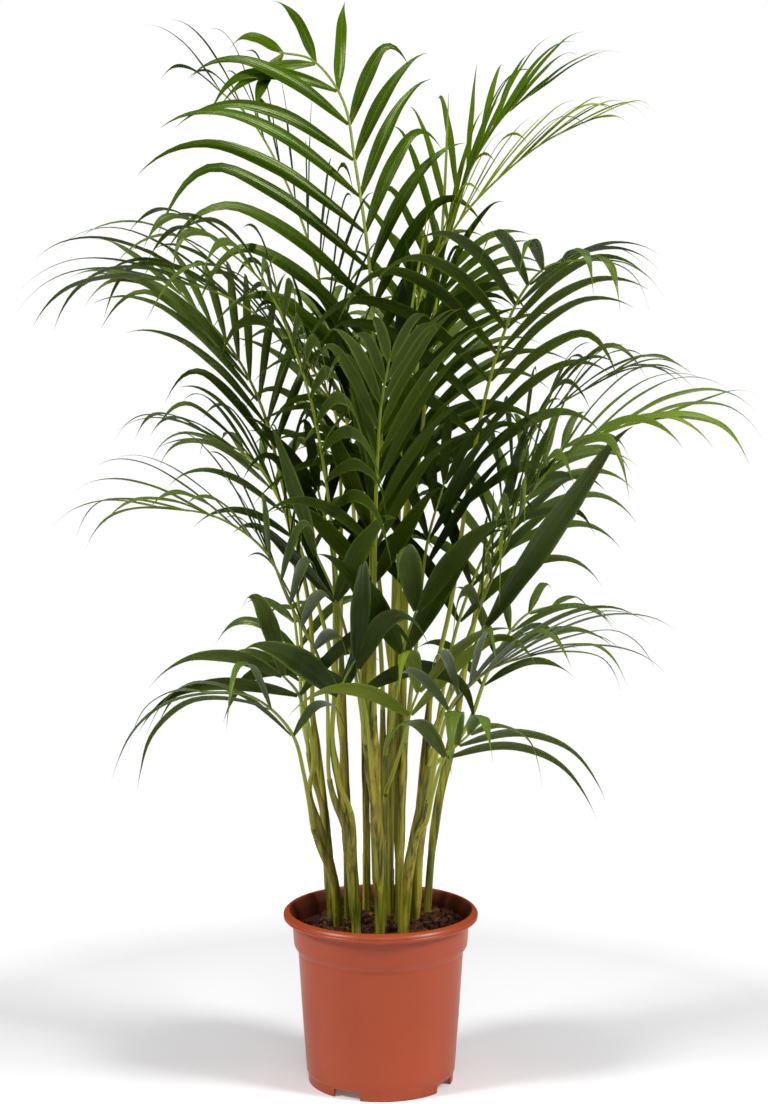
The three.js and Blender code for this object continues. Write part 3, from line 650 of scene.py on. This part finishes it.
def live_sheath(shell, cane, stalk_parts, rank, draw):
    """The foot of a frond: it wraps the cane, then draws in and leans away with the stalk."""
    centres, line = cane[0], stalk_parts[0]
    foot = nearest_run(centres, line[0])
    at = np.arange(-WRAP_LONG, WRAP_BEYOND, WRAP_STRIDE)
    share = ease(at, -WRAP_UNDER, WRAP_OVER)
    on_cane, on_stalk = stretched(centres, foot + at), stretched(line, at)
    centre = on_cane + (on_stalk - on_cane) * share[:, None]
    turn = turns_round(CANE_SIDES)
    wrap = rolled(turn[None, :] - draw.random() * FULL_TURN + WRAP_SPIRAL * at[:, None])
    radius = sheath_radius(cane, stalk_parts, foot, rank, at)
    out = radius[:, None] * (1 + WRAP_OVERLAP * (1 - share[:, None]) * (wrap - 0.5))
    rings = rings_round(centre, out, turn)
    dry = WRAP_DRY * np.exp(-(((at + WRAP_DRY_AT) / WRAP_DRY_LONG) ** 2))
    shell.tube(rings, marks_for(rings.shape[:2], draw.random(), WRAP_ALONG, dry[:, None], wrap))


def make_cane(name, skin, cane, stalks):
    draw = np.random.default_rng(CANE_SEED + int(name.split("_")[1]))
    shell = Shell()
    cane_core(shell, *cane, draw)
    for rank, stalk_parts in enumerate(sorted(stalks, key=lambda parts: -parts[0][0][2])):
        live_sheath(shell, cane, stalk_parts, rank, draw)
    return shell.build(name.replace("cane", "palm_cane"), [skin], CANE_SHARP)


# --- pot ---

# Radius and height in mm: up the inside of the foot, over the wall and the rim, and down the inside.
POT_PROFILE = (
    (0, 10), (40, 10), (66, 10), (67.4, 9.4), (68.2, 8.6), (68.4, 0.3), (68.7, 0), (70.6, 0), (71.0, 0.4),
    (71.5, 8.8), (71.75, 10.2), (72.3, 10.9), (72.7, 11.6), (72.9, 13), (76.9, 70), (80.5, 128),
    (80.6, 129.6), (80.45, 130.2), (80.6, 130.9), (81.3, 132.2), (82.8, 134.2), (84.1, 136.2),
    (84.75, 138.2), (85.0, 140.5), (86.2, 160), (86.35, 162.3), (86.9, 163.2), (92.0, 163.3),
    (93.6, 163.5), (94.5, 164.2), (94.8, 165.2), (94.5, 166.1), (94.15, 166.5), (94.55, 166.9),
    (94.9, 167.8), (94.5, 169.0), (93.4, 170.3), (92.2, 171.3), (91.2, 171.8), (90.2, 172.0),
    (89.4, 171.7), (88.9, 170.9), (88.4, 169.0), (85.1, 162.5), (84.6, 160), (83.4, 139.5),
    (83.0, 137.6), (79.5, 133.6), (79.0, 131), (75.3, 70), (71.0, 14), (70.2, 12.4), (69, 12),
    (40, 12), (0, 12),
)
# The ring, counted without the profile's first point, where the rim turns down into the pot.
POT_LIP, LIP_BLEND = 39, 3
POT_SHARP = 38
POT_TURN = 2.5
# The foot's notches, in degrees, and the foot ring that they're cut from.
NOTCHES = (-28, 62, 152, 242)
NOTCH_HALF, NOTCH_EDGE, NOTCH_CLEAR = 11.5, 0.35, 1.6
NOTCH_TOP, NOTCH_SQUASH = 8.5 * MM, 0.2
NOTCH_LOW = NOTCH_TOP - 0.2 * MM
FOOT_INNER, FOOT_OUTER = 68 * MM, 71.6 * MM


def turn_between(one, two):
    """The angle between two directions in degrees."""
    return abs((one - two + 180) % 360 - 180)


def pot_turns():
    """Angles round the pot, evenly spaced, with close pairs at the notches' sides."""
    turns = set(np.arange(0, 360, POT_TURN))
    for centre in NOTCHES:
        for edge in (centre - NOTCH_HALF, centre + NOTCH_HALF):
            turns = {turn for turn in turns if turn_between(turn, edge) > NOTCH_CLEAR}
            turns |= {(edge - NOTCH_EDGE) % 360, (edge + NOTCH_EDGE) % 360}
    return np.array(sorted(turns))


def pot_rings(radii, heights, turns):
    """A ring for each point of the profile, lifted in the notches where it belongs to the foot."""
    rings = np.empty((len(radii), len(turns), 3))
    foot = (radii > FOOT_INNER) & (radii < FOOT_OUTER) & (heights < NOTCH_TOP)
    lifted = np.where(foot, NOTCH_LOW + NOTCH_SQUASH * heights, heights)
    for k, turn in enumerate(turns):
        notched = any(turn_between(turn, centre) < NOTCH_HALF for centre in NOTCHES)
        a = math.radians(turn)
        rings[:, k, 0] = radii * math.sin(a)
        rings[:, k, 1] = -radii * math.cos(a)
        rings[:, k, 2] = lifted if notched else heights
    return rings


def pot_faces(steps, around):
    """The faces between the rings, and a fan to each of the last two points, which lie on the axis."""
    faces = side_faces(steps, around)
    last, low, high = (steps - 1) * around, steps * around, steps * around + 1
    for k in range(around):
        n = (k + 1) % around
        faces.append((low, n, k))
        faces.append((high, last + k, last + n))
    return faces


def make_pot(skin):
    turns = pot_turns()
    profile = np.array(POT_PROFILE) * MM
    radii, heights = profile[1:-1].T
    rings = pot_rings(radii, heights, turns)
    points = np.concatenate([rings.reshape(-1, 3), [[0, 0, profile[0, 1]], [0, 0, profile[-1, 1]]]])
    inside = ease(np.arange(len(radii)), POT_LIP, POT_LIP + LIP_BLEND)
    marks = np.zeros((len(points), 4))
    marks[: len(radii) * len(turns), 0] = np.repeat(inside, len(turns))
    shell = Shell()
    shell.add(points, pot_faces(len(radii), len(turns)), marks, 0)
    return shell.build("plant_pot", [skin], POT_SHARP)


# --- soil ---

SOIL_SEED = SEED + 300
SOIL_SHARP = 60
SOIL_LEVEL = 150 * MM
SOIL_RADIUS = 83.2 * MM
SOIL_SKIRT = ((78.2 * MM, 131 * MM), (82.4 * MM, 140.5 * MM))
SOIL_SIDES, SOIL_RINGS, SOIL_CENTRE = 150, 46, 0.3 * MM
# Waves to a metre and height in mm of the soil's swells, lumps and grit, and its rise towards the back.
SWELLS, LUMPS, GRIT = (28, 3.2), (95, 2.2), (260, 1.6)
HEAP, HEAP_FROM, HEAP_TO = 6 * MM, 10 * MM, 80 * MM
# Clods and bark chips: how many, their size in mm, their shape against it, and how many are chips.
CRUMBS, CRUMB_MARGIN = 900, 4 * MM
CRUMB_LEAST, CRUMB_SPREAD, CRUMB_FEW = 1.1, 3.4, 2.2
CRUMB_ROWS, CRUMB_SIDES, CRUMB_END, CRUMB_ROUGH = 5, 8, 0.18, 0.55
CRUMB_WIDE, CRUMB_WIDER, CRUMB_HIGH, CRUMB_HIGHER = 0.55, 0.4, 0.6, 0.3
CRUMB_LIFT = 0.1
CHIP_EVERY, CHIP_FLAT = 5, 0.3
# Fibres: how many, their lengths in mm, and their radius and arch.
FIBRES, FIBRE_MARGIN = 90, 10 * MM
FIBRE_LEAST, FIBRE_SPREAD = 5, 10
FIBRE_POINTS, FIBRE_SIDES = 7, 5
FIBRE_RADIUS, FIBRE_ARCH, FIBRE_LIFT = 0.28 * MM, 1.6 * MM, 0.4 * MM


def soil_height(x, y):
    at = Vector((x, y, 0))
    swell = noise.noise(at * SWELLS[0]) * SWELLS[1] * MM
    lumps = noise.noise(at * LUMPS[0] + Vector((7, 3, 1))) * LUMPS[1] * MM
    grit = abs(noise.noise(at * GRIT[0] + Vector((1, 9, 4)))) * GRIT[1] * MM
    return SOIL_LEVEL + swell + lumps + grit + HEAP * ease(0.5 * x + y, HEAP_FROM, HEAP_TO)


def soil_bed(shell):
    """The skirt that closes on the pot's wall, then rings from the edge in to the middle."""
    turn = turns_round(SOIL_SIDES)
    circle = np.stack([np.cos(turn), np.sin(turn)], axis=1)
    rings = [np.column_stack([circle * r, np.full(SOIL_SIDES, z)]) for r, z in SOIL_SKIRT]
    for i in range(SOIL_RINGS):
        r = SOIL_RADIUS * (1 - i / SOIL_RINGS) + SOIL_CENTRE
        rings.append([(x, y, soil_height(x, y)) for x, y in circle * r])
    rings = np.array(rings)
    shell.tube(rings, marks_for(rings.shape[:2], 0.5, 0.5, 0, 0))


def spot(draw, margin):
    """A place drawn evenly over the soil, with a margin at its edge."""
    r = (SOIL_RADIUS - margin) * math.sqrt(draw.random())
    turn = draw.random() * FULL_TURN
    return r * math.cos(turn), r * math.sin(turn)


def crumb(shell, place, size, draw, chip):
    """A rough clod, or a flatter bark chip, as a warped ball."""
    tilt = unit(draw.normal(size=3))
    other = unit(np.cross(tilt, draw.normal(size=3)))
    third = np.cross(tilt, other)
    wide = CRUMB_WIDE + CRUMB_WIDER * draw.random()
    high = CHIP_FLAT if chip else CRUMB_HIGH + CRUMB_HIGHER * draw.random()
    up = np.linspace(CRUMB_END, math.pi - CRUMB_END, CRUMB_ROWS)[:, None]
    turn = turns_round(CRUMB_SIDES)
    rough = 1 + (draw.random((CRUMB_ROWS, CRUMB_SIDES)) - 0.5) * CRUMB_ROUGH
    ball = [np.cos(up) * rough, np.sin(up) * np.cos(turn) * rough, np.sin(up) * np.sin(turn) * rough]
    scale = size * np.array([1, wide, high])
    points = place + (np.stack(ball, axis=-1) * scale) @ np.stack([tilt, other, third])
    shell.tube(points, marks_for(points.shape[:2], draw.random(), chip, 0, 0))


def fibre(shell, place, draw):
    """A short curved root or coir hair that lies on the soil."""
    turn = draw.random() * FULL_TURN
    way = np.array([math.cos(turn), math.sin(turn), 0])
    side = np.array([-way[1], way[0], 0])
    bend = side * (draw.random() - 0.5) * 2
    length = (FIBRE_LEAST + FIBRE_SPREAD * draw.random()) * MM
    t = np.linspace(-0.5, 0.5, FIBRE_POINTS)
    line = place + np.outer(t * length, way) + np.outer(t * t * length, bend)
    line[:, 2] += FIBRE_ARCH * (0.25 - t * t) * 4 * draw.random() + FIBRE_LIFT
    around = turns_round(FIBRE_SIDES)[:, None]
    rings = line[:, None] + (side * np.cos(around)) * FIBRE_RADIUS
    rings = rings + (np.array([0, 0, 1.0]) * np.sin(around)) * FIBRE_RADIUS
    shell.tube(rings, marks_for(rings.shape[:2], draw.random(), 1, 1, 0))


def make_soil(skin, cane_feet):
    draw = np.random.default_rng(SOIL_SEED)
    shell = Shell()
    soil_bed(shell)
    for i in range(CRUMBS):
        x, y = spot(draw, CRUMB_MARGIN)
        size = (CRUMB_LEAST + CRUMB_SPREAD * draw.random() ** CRUMB_FEW) * MM
        if min(math.hypot(x - fx, y - fy) - fr for fx, fy, fr in cane_feet) < size:
            continue
        place = np.array([x, y, soil_height(x, y) + CRUMB_LIFT * size])
        crumb(shell, place, size, draw, i % CHIP_EVERY == 0)
    for _ in range(FIBRES):
        x, y = spot(draw, FIBRE_MARGIN)
        fibre(shell, np.array([x, y, soil_height(x, y)]), draw)
    return shell.build("potting_soil", [skin], SOIL_SHARP)


# --- materials ---


def srgb(red, green, blue):
    def linear(c):
        c /= 255
        return c / 12.92 if c <= 0.04045 else ((c + 0.055) / 1.055) ** 2.4

    return (linear(red), linear(green), linear(blue), 1)


BLACK = (0, 0, 0, 1)
# For each slot of leaves: dark, light, midrib and underside.
LEAF_COLOURS = {
    "frond": (srgb(20, 40, 1), srgb(71, 101, 4), srgb(118, 134, 18), srgb(57, 72, 13)),
    "frond_deep": (srgb(11, 27, 1), srgb(47, 78, 4), srgb(84, 100, 14), srgb(40, 56, 9)),
    "frond_fresh": (srgb(92, 118, 4), srgb(142, 156, 12), srgb(168, 170, 34), srgb(120, 136, 30)),
}
# The last colour is painted sheen: the pale grey-green of glossy leaves catching light.
DRY_LEAF, FRESH_LEAF, SHEEN_LEAF = srgb(128, 104, 52), srgb(128, 150, 12), srgb(116, 130, 66)
# Leaves are painted paler and greyer in the lower and outer part of the crown, as painted sheen, and darker
# in its dense middle, as painted shade.
# Heights are in metres above the floor and distances from the plant's axis.
SHEEN_SHARE, SHEEN_TOP, SHEEN_NEAR, SHEEN_FAR = 0.5, 0.9, 0.08, 0.22
# Painted shade in the crown's dense middle: how dark, and the heights and distances over which it fades.
INNER_DARK, INNER_TOP, INNER_NEAR, INNER_FAR = 0.77, 0.98, 0.03, 0.22
CROWN_LOW = 0.78
RIBS = 19
# From the foot to the end of a stalk.
STALK_COLOURS = (srgb(164, 152, 48), srgb(150, 152, 42), srgb(112, 132, 30))
OLIVE, YELLOW, GREEN = srgb(52, 58, 4), srgb(186, 178, 50), srgb(54, 70, 8)
# The second is the sheaths' brown edge, and also painted shade under the edge that laps over it.
DRY_SHEATH, SHEATH_EDGE_AND_SHADE, CANE_FOOT = srgb(148, 104, 44), srgb(92, 66, 26), srgb(92, 58, 28)
SOIL_DARK, SOIL_BROWN, SOIL_PATCH = srgb(22, 13, 8), srgb(66, 41, 26), srgb(84, 50, 30)
CHIP_DARK, CHIP_LIGHT = srgb(52, 30, 18), srgb(128, 74, 42)
FIBRE_DARK, FIBRE_LIGHT = srgb(120, 84, 50), srgb(168, 130, 86)
# The third is painted shade for the pot's inner wall.
POT_DARK, POT_LIGHT, POT_INSIDE_SHADE = srgb(155, 58, 14), srgb(163, 63, 18), srgb(62, 26, 14)
# The first is a painted highlight that makes the rim paler than the wall.
RIM_HIGHLIGHT, FOOT_COLOUR = srgb(164, 68, 30), srgb(136, 52, 20)
RIM_LOW, RIM_HIGH, FOOT_HIGH = 0.160, 0.168, 0.02


class Paint:
    """A material's node tree, with short calls for the nodes that it uses."""

    def __init__(self, name):
        self.material = bpy.data.materials.new(name)
        self.material.use_nodes = True
        self.tree = self.material.node_tree
        self.shader = self.tree.nodes["Principled BSDF"]

    def link(self, value, socket):
        if isinstance(value, bpy.types.NodeSocket):
            self.tree.links.new(value, socket)
        else:
            socket.default_value = value

    def node(self, kind, output=0, settings=(), **inputs):
        """Adds a node and gives one of its outputs. An input is named, or counted as in0, in1 and so on."""
        node = self.tree.nodes.new(kind)
        for key, value in settings:
            setattr(node, key, value)
        for key, value in inputs.items():
            name = key.replace("_", " ")
            self.link(value, node.inputs[int(key[2:])] if key.startswith("in") else node.inputs[name])
        return node.outputs[output]

    def mark(self):
        """The four marks that each vertex carries."""
        colour = self.node("ShaderNodeAttribute", settings=[("attribute_name", "mark")])
        split = self.tree.nodes.new("ShaderNodeSeparateColor")
        self.tree.links.new(colour, split.inputs[0])
        return split.outputs[0], split.outputs[1], split.outputs[2], colour.node.outputs["Alpha"]

    def place(self):
        """Where a point of the surface lies, in metres."""
        return self.node("ShaderNodeTexCoord", output=3)

    def part_of(self, vector, axis):
        return self.node("ShaderNodeSeparateXYZ", output=axis, Vector=vector)

    def length(self, vector):
        return self.node("ShaderNodeVectorMath", 1, [("operation", "LENGTH")], in0=vector)

    def scaled(self, vector, scale):
        return self.node("ShaderNodeMapping", Vector=vector, Scale=scale)

    def noise(self, scale, detail=3.0, rough=0.5, stretch=None):
        at = self.scaled(self.place(), stretch) if stretch else self.place()
        return self.node("ShaderNodeTexNoise", Vector=at, Scale=scale, Detail=detail, Roughness=rough)

    def lengthwise(self, across, along, random):
        """Fine streaks that run along a leaflet, different on each."""
        at = self.node(
            "ShaderNodeCombineXYZ",
            X=self.times(across, 9.0),
            Y=self.times(along, 2.5),
            Z=self.times(random, 60.0),
        )
        return self.node("ShaderNodeTexNoise", Vector=at, Scale=1.0, Detail=2.0)

    def maths(self, operation, *values):
        inputs = {f"in{i}": value for i, value in enumerate(values)}
        return self.node("ShaderNodeMath", settings=[("operation", operation)], **inputs)

    def times(self, a, b):
        return self.maths("MULTIPLY", a, b)

    def plus(self, a, b):
        return self.maths("ADD", a, b)

    def span(self, value, low, high, to_low=0.0, to_high=1.0):
        """The value carried over from one range to another, and held at that range's ends."""
        return self.node("ShaderNodeMapRange", in0=value, in1=low, in2=high, in3=to_low, in4=to_high)

    def mix(self, share, one, two):
        node = self.tree.nodes.new("ShaderNodeMix")
        node.data_type = "RGBA"
        self.link(share, node.inputs[0])
        self.link(one, node.inputs[6])
        self.link(two, node.inputs[7])
        return node.outputs[2]

    def bump(self, height, strength, distance):
        return self.node("ShaderNodeBump", Height=height, Strength=strength, Distance=distance)

    def done(self, **inputs):
        for key, value in inputs.items():
            self.link(value, self.shader.inputs[key.replace("_", " ")])
        return self.material


def painted_sheen(p, colour, height, from_axis):
    """The colour, paler and greyer in the lower and outer part of the crown: painted sheen."""
    outer = p.span(from_axis, SHEEN_NEAR, SHEEN_FAR, 0.0, SHEEN_SHARE)
    return p.mix(p.times(p.span(height, SHEEN_TOP, CROWN_LOW), outer), colour, SHEEN_LEAF)


def shaded(p, colour, height, from_axis):
    """The colour, darker in the dense middle of the crown: painted shade."""
    inner = p.span(from_axis, INNER_NEAR, INNER_FAR, INNER_DARK, 0.0)
    return p.mix(p.times(inner, p.span(height, INNER_TOP, CROWN_LOW)), colour, BLACK)


def leaf_paint(name, dark, light, rib, under_colour):
    """Its marks: shade, how far along the blade, how far from the midrib, and 1 on the underside."""
    p = Paint(name)
    shade, along, across, under = p.mark()
    vein = p.lengthwise(across, along, shade)
    height = p.part_of(p.place(), 2)
    from_axis = p.length(p.scaled(p.place(), (1, 1, 0)))
    patchy = p.plus(p.times(shade, 0.6), p.times(p.noise(16, 2), 0.45))
    # Painted sheen makes the lower and outer leaves paler.
    colour = painted_sheen(p, p.mix(p.span(patchy, 0.25, 0.8), dark, light), height, from_axis)
    colour = p.mix(p.span(shade, 0.9, 1.5), colour, FRESH_LEAF)
    colour = p.mix(p.span(along, 0.0, 0.16, 0.45, 0.0), colour, rib)
    colour = p.mix(p.span(vein, 0.35, 0.7, 0.0, 0.4), colour, light)
    colour = p.mix(p.span(across, 0.03, 0.12, 0.3, 0.0), colour, rib)
    colour = p.mix(p.times(under, 0.75), colour, under_colour)
    dry = p.times(p.span(along, 0.9, 0.97), p.span(p.noise(11, 1), 0.5, 0.6))
    colour = p.mix(p.times(dry, 0.85), colour, DRY_LEAF)
    ribs = p.maths("SINE", p.times(across, RIBS))
    return p.done(
        # Painted shade darkens the crown's dense middle.
        Base_Color=shaded(p, colour, height, from_axis),
        Roughness=p.plus(p.span(p.noise(60, 3), 0.3, 0.7, 0.2, 0.3), p.times(under, 0.16)),
        Normal=p.bump(p.plus(p.times(ribs, 0.5), vein), 0.16, 0.4 * MM),
        Specular_IOR_Level=0.16,
        Specular_Tint=(0.85, 1, 0.4, 1),
        Subsurface_Weight=0.15,
        Subsurface_Radius=(0.5, 1.0, 0.1),
        Subsurface_Scale=0.8 * MM,
    )


def stalk_paint(name, low, middle, high):
    """Its marks: a random number, how far along it, and its distance from the foot against REACH."""
    p = Paint(name)
    random, along, reach, _ = p.mark()
    colour = p.mix(p.span(reach, 0.0, 0.35), low, middle)
    colour = p.mix(p.span(along, 0.35, 0.95), colour, high)
    speck = p.noise(120, 3, 0.6, (1, 1, 0.12))
    colour = p.mix(p.span(speck, 0.45, 0.75, 0.0, 0.5), colour, high)
    colour = p.mix(p.times(random, 0.3), colour, high)
    return p.done(
        Base_Color=colour,
        Roughness=p.span(speck, 0.3, 0.7, 0.32, 0.46),
        Normal=p.bump(speck, 0.25, 0.3 * MM),
        Specular_IOR_Level=0.25,
    )


def cane_paint():
    """Its marks: a random number, how far along, how dry, and how far round its roll."""
    p = Paint("cane_skin")
    random, along, dry, wrap = p.mark()
    streak = p.noise(230, 4, 0.62, (1, 1, 0.02))
    broad = p.noise(70, 2, 0.5, (1, 1, 0.05))
    colour = p.mix(p.span(streak, 0.36, 0.64), OLIVE, YELLOW)
    colour = p.mix(p.span(broad, 0.5, 0.75, 0.0, 0.6), colour, GREEN)
    colour = p.mix(p.times(random, 0.6), colour, GREEN)
    rusty = p.times(dry, p.span(streak, 0.35, 0.6, 0.3, 1.0))
    colour = p.mix(p.times(rusty, 0.75), colour, DRY_SHEATH)
    # Each sheath's inner edge: brown, and darkened with painted shade under the edge that laps over it.
    colour = p.mix(p.span(wrap, 0.0, 0.05, 0.7, 0.0), colour, SHEATH_EDGE_AND_SHADE)
    colour = p.mix(p.span(along, 0.0, 0.08, 0.75, 0.0), colour, CANE_FOOT)
    return p.done(
        Base_Color=colour,
        Roughness=p.span(streak, 0.3, 0.7, 0.36, 0.55),
        Normal=p.bump(streak, 0.6, 0.6 * MM),
        Specular_IOR_Level=0.3,
    )


def soil_paint():
    """Its marks: a random number, 1 on chips and fibres, and 1 on fibres."""
    p = Paint("soil_crumb")
    random, chip, hair, _ = p.mark()
    grain = p.noise(240, 5, 0.65)
    colour = p.mix(p.span(grain, 0.35, 0.7), SOIL_DARK, SOIL_BROWN)
    colour = p.mix(p.span(p.noise(38, 3), 0.45, 0.75, 0.0, 0.5), colour, SOIL_PATCH)
    colour = p.mix(p.times(chip, 0.85), colour, p.mix(random, CHIP_DARK, CHIP_LIGHT))
    colour = p.mix(hair, colour, p.mix(random, FIBRE_DARK, FIBRE_LIGHT))
    return p.done(
        Base_Color=colour,
        Roughness=0.93,
        Normal=p.bump(grain, 0.8, 1.2 * MM),
        Specular_IOR_Level=0.2,
    )


def pot_paint():
    """Its first mark is 1 inside the pot, where the wall gets painted shade."""
    p = Paint("pot_plastic")
    inside = p.mark()[0]
    height = p.part_of(p.place(), 2)
    cloud = p.noise(9, 3)
    fine = p.noise(420, 3, 0.6)
    colour = p.mix(p.span(cloud, 0.35, 0.7), POT_DARK, POT_LIGHT)
    # Painted highlight: the rim is paler than the wall.
    colour = p.mix(p.span(height, RIM_LOW, RIM_HIGH, 0.0, 0.5), colour, RIM_HIGHLIGHT)
    colour = p.mix(p.span(height, 0.0, FOOT_HIGH, 0.3, 0.0), colour, FOOT_COLOUR)
    # Painted shade darkens the pot's inner wall.
    colour = p.mix(p.times(inside, p.span(cloud, 0.2, 0.7, 0.95, 0.8)), colour, POT_INSIDE_SHADE)
    return p.done(
        Base_Color=colour,
        Roughness=p.span(cloud, 0.3, 0.7, 0.33, 0.41),
        Normal=p.bump(p.plus(fine, p.times(cloud, 0.6)), 0.12, 0.3 * MM),
        Specular_IOR_Level=0.42,
    )


# --- the whole plant ---

# Crumbs of soil keep this many of a cane's radii away from its middle.
CANE_ROOM = 1.3


def distance_to(line, point):
    return np.linalg.norm(stretched(line, np.array([nearest_run(line, point)]))[0] - point)


def canes_and_stalks(nodes):
    """Each cane as read, each frond as read, and the stalks whose feet lie nearest to each cane."""
    canes = {node: read_cane(node) for node in nodes if node.startswith("cane")}
    fronds = {node: read_frond(node) for node in nodes if node.startswith("frond")}
    stalks = {node: [] for node in canes}
    for parts in fronds.values():
        foot = parts["stalk"][0][0]
        gap = {node: distance_to(canes[node][0], foot) for node in canes}
        stalks[min(gap, key=gap.get)].append(parts["stalk"])
    return canes, fronds, stalks


def stand_in(piece, node):
    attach(piece, "root")
    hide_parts(node)


def build_plant():
    slots = {part["node"]: part["material_slot"] for part in frame["record"]["subparts"]}
    canes, fronds, stalks = canes_and_stalks(sorted(slots))
    leaves = {slot: leaf_paint("leaf_" + slot, *colours) for slot, colours in LEAF_COLOURS.items()}
    stem = stalk_paint("stalk_green", *STALK_COLOURS)
    skin = cane_paint()
    for node, cane in canes.items():
        stand_in(make_cane(node, skin, cane, stalks[node]), node)
    for node, parts in fronds.items():
        stand_in(make_frond(node, parts, leaves[slots[node]], stem), node)
    feet = [(*centres[1][:2], radii[1] * CANE_ROOM) for centres, radii in canes.values()]
    stand_in(make_soil(soil_paint(), feet), "soil")
    stand_in(make_pot(pot_paint()), "pot")


make_camera()
make_studio()
build_plant()
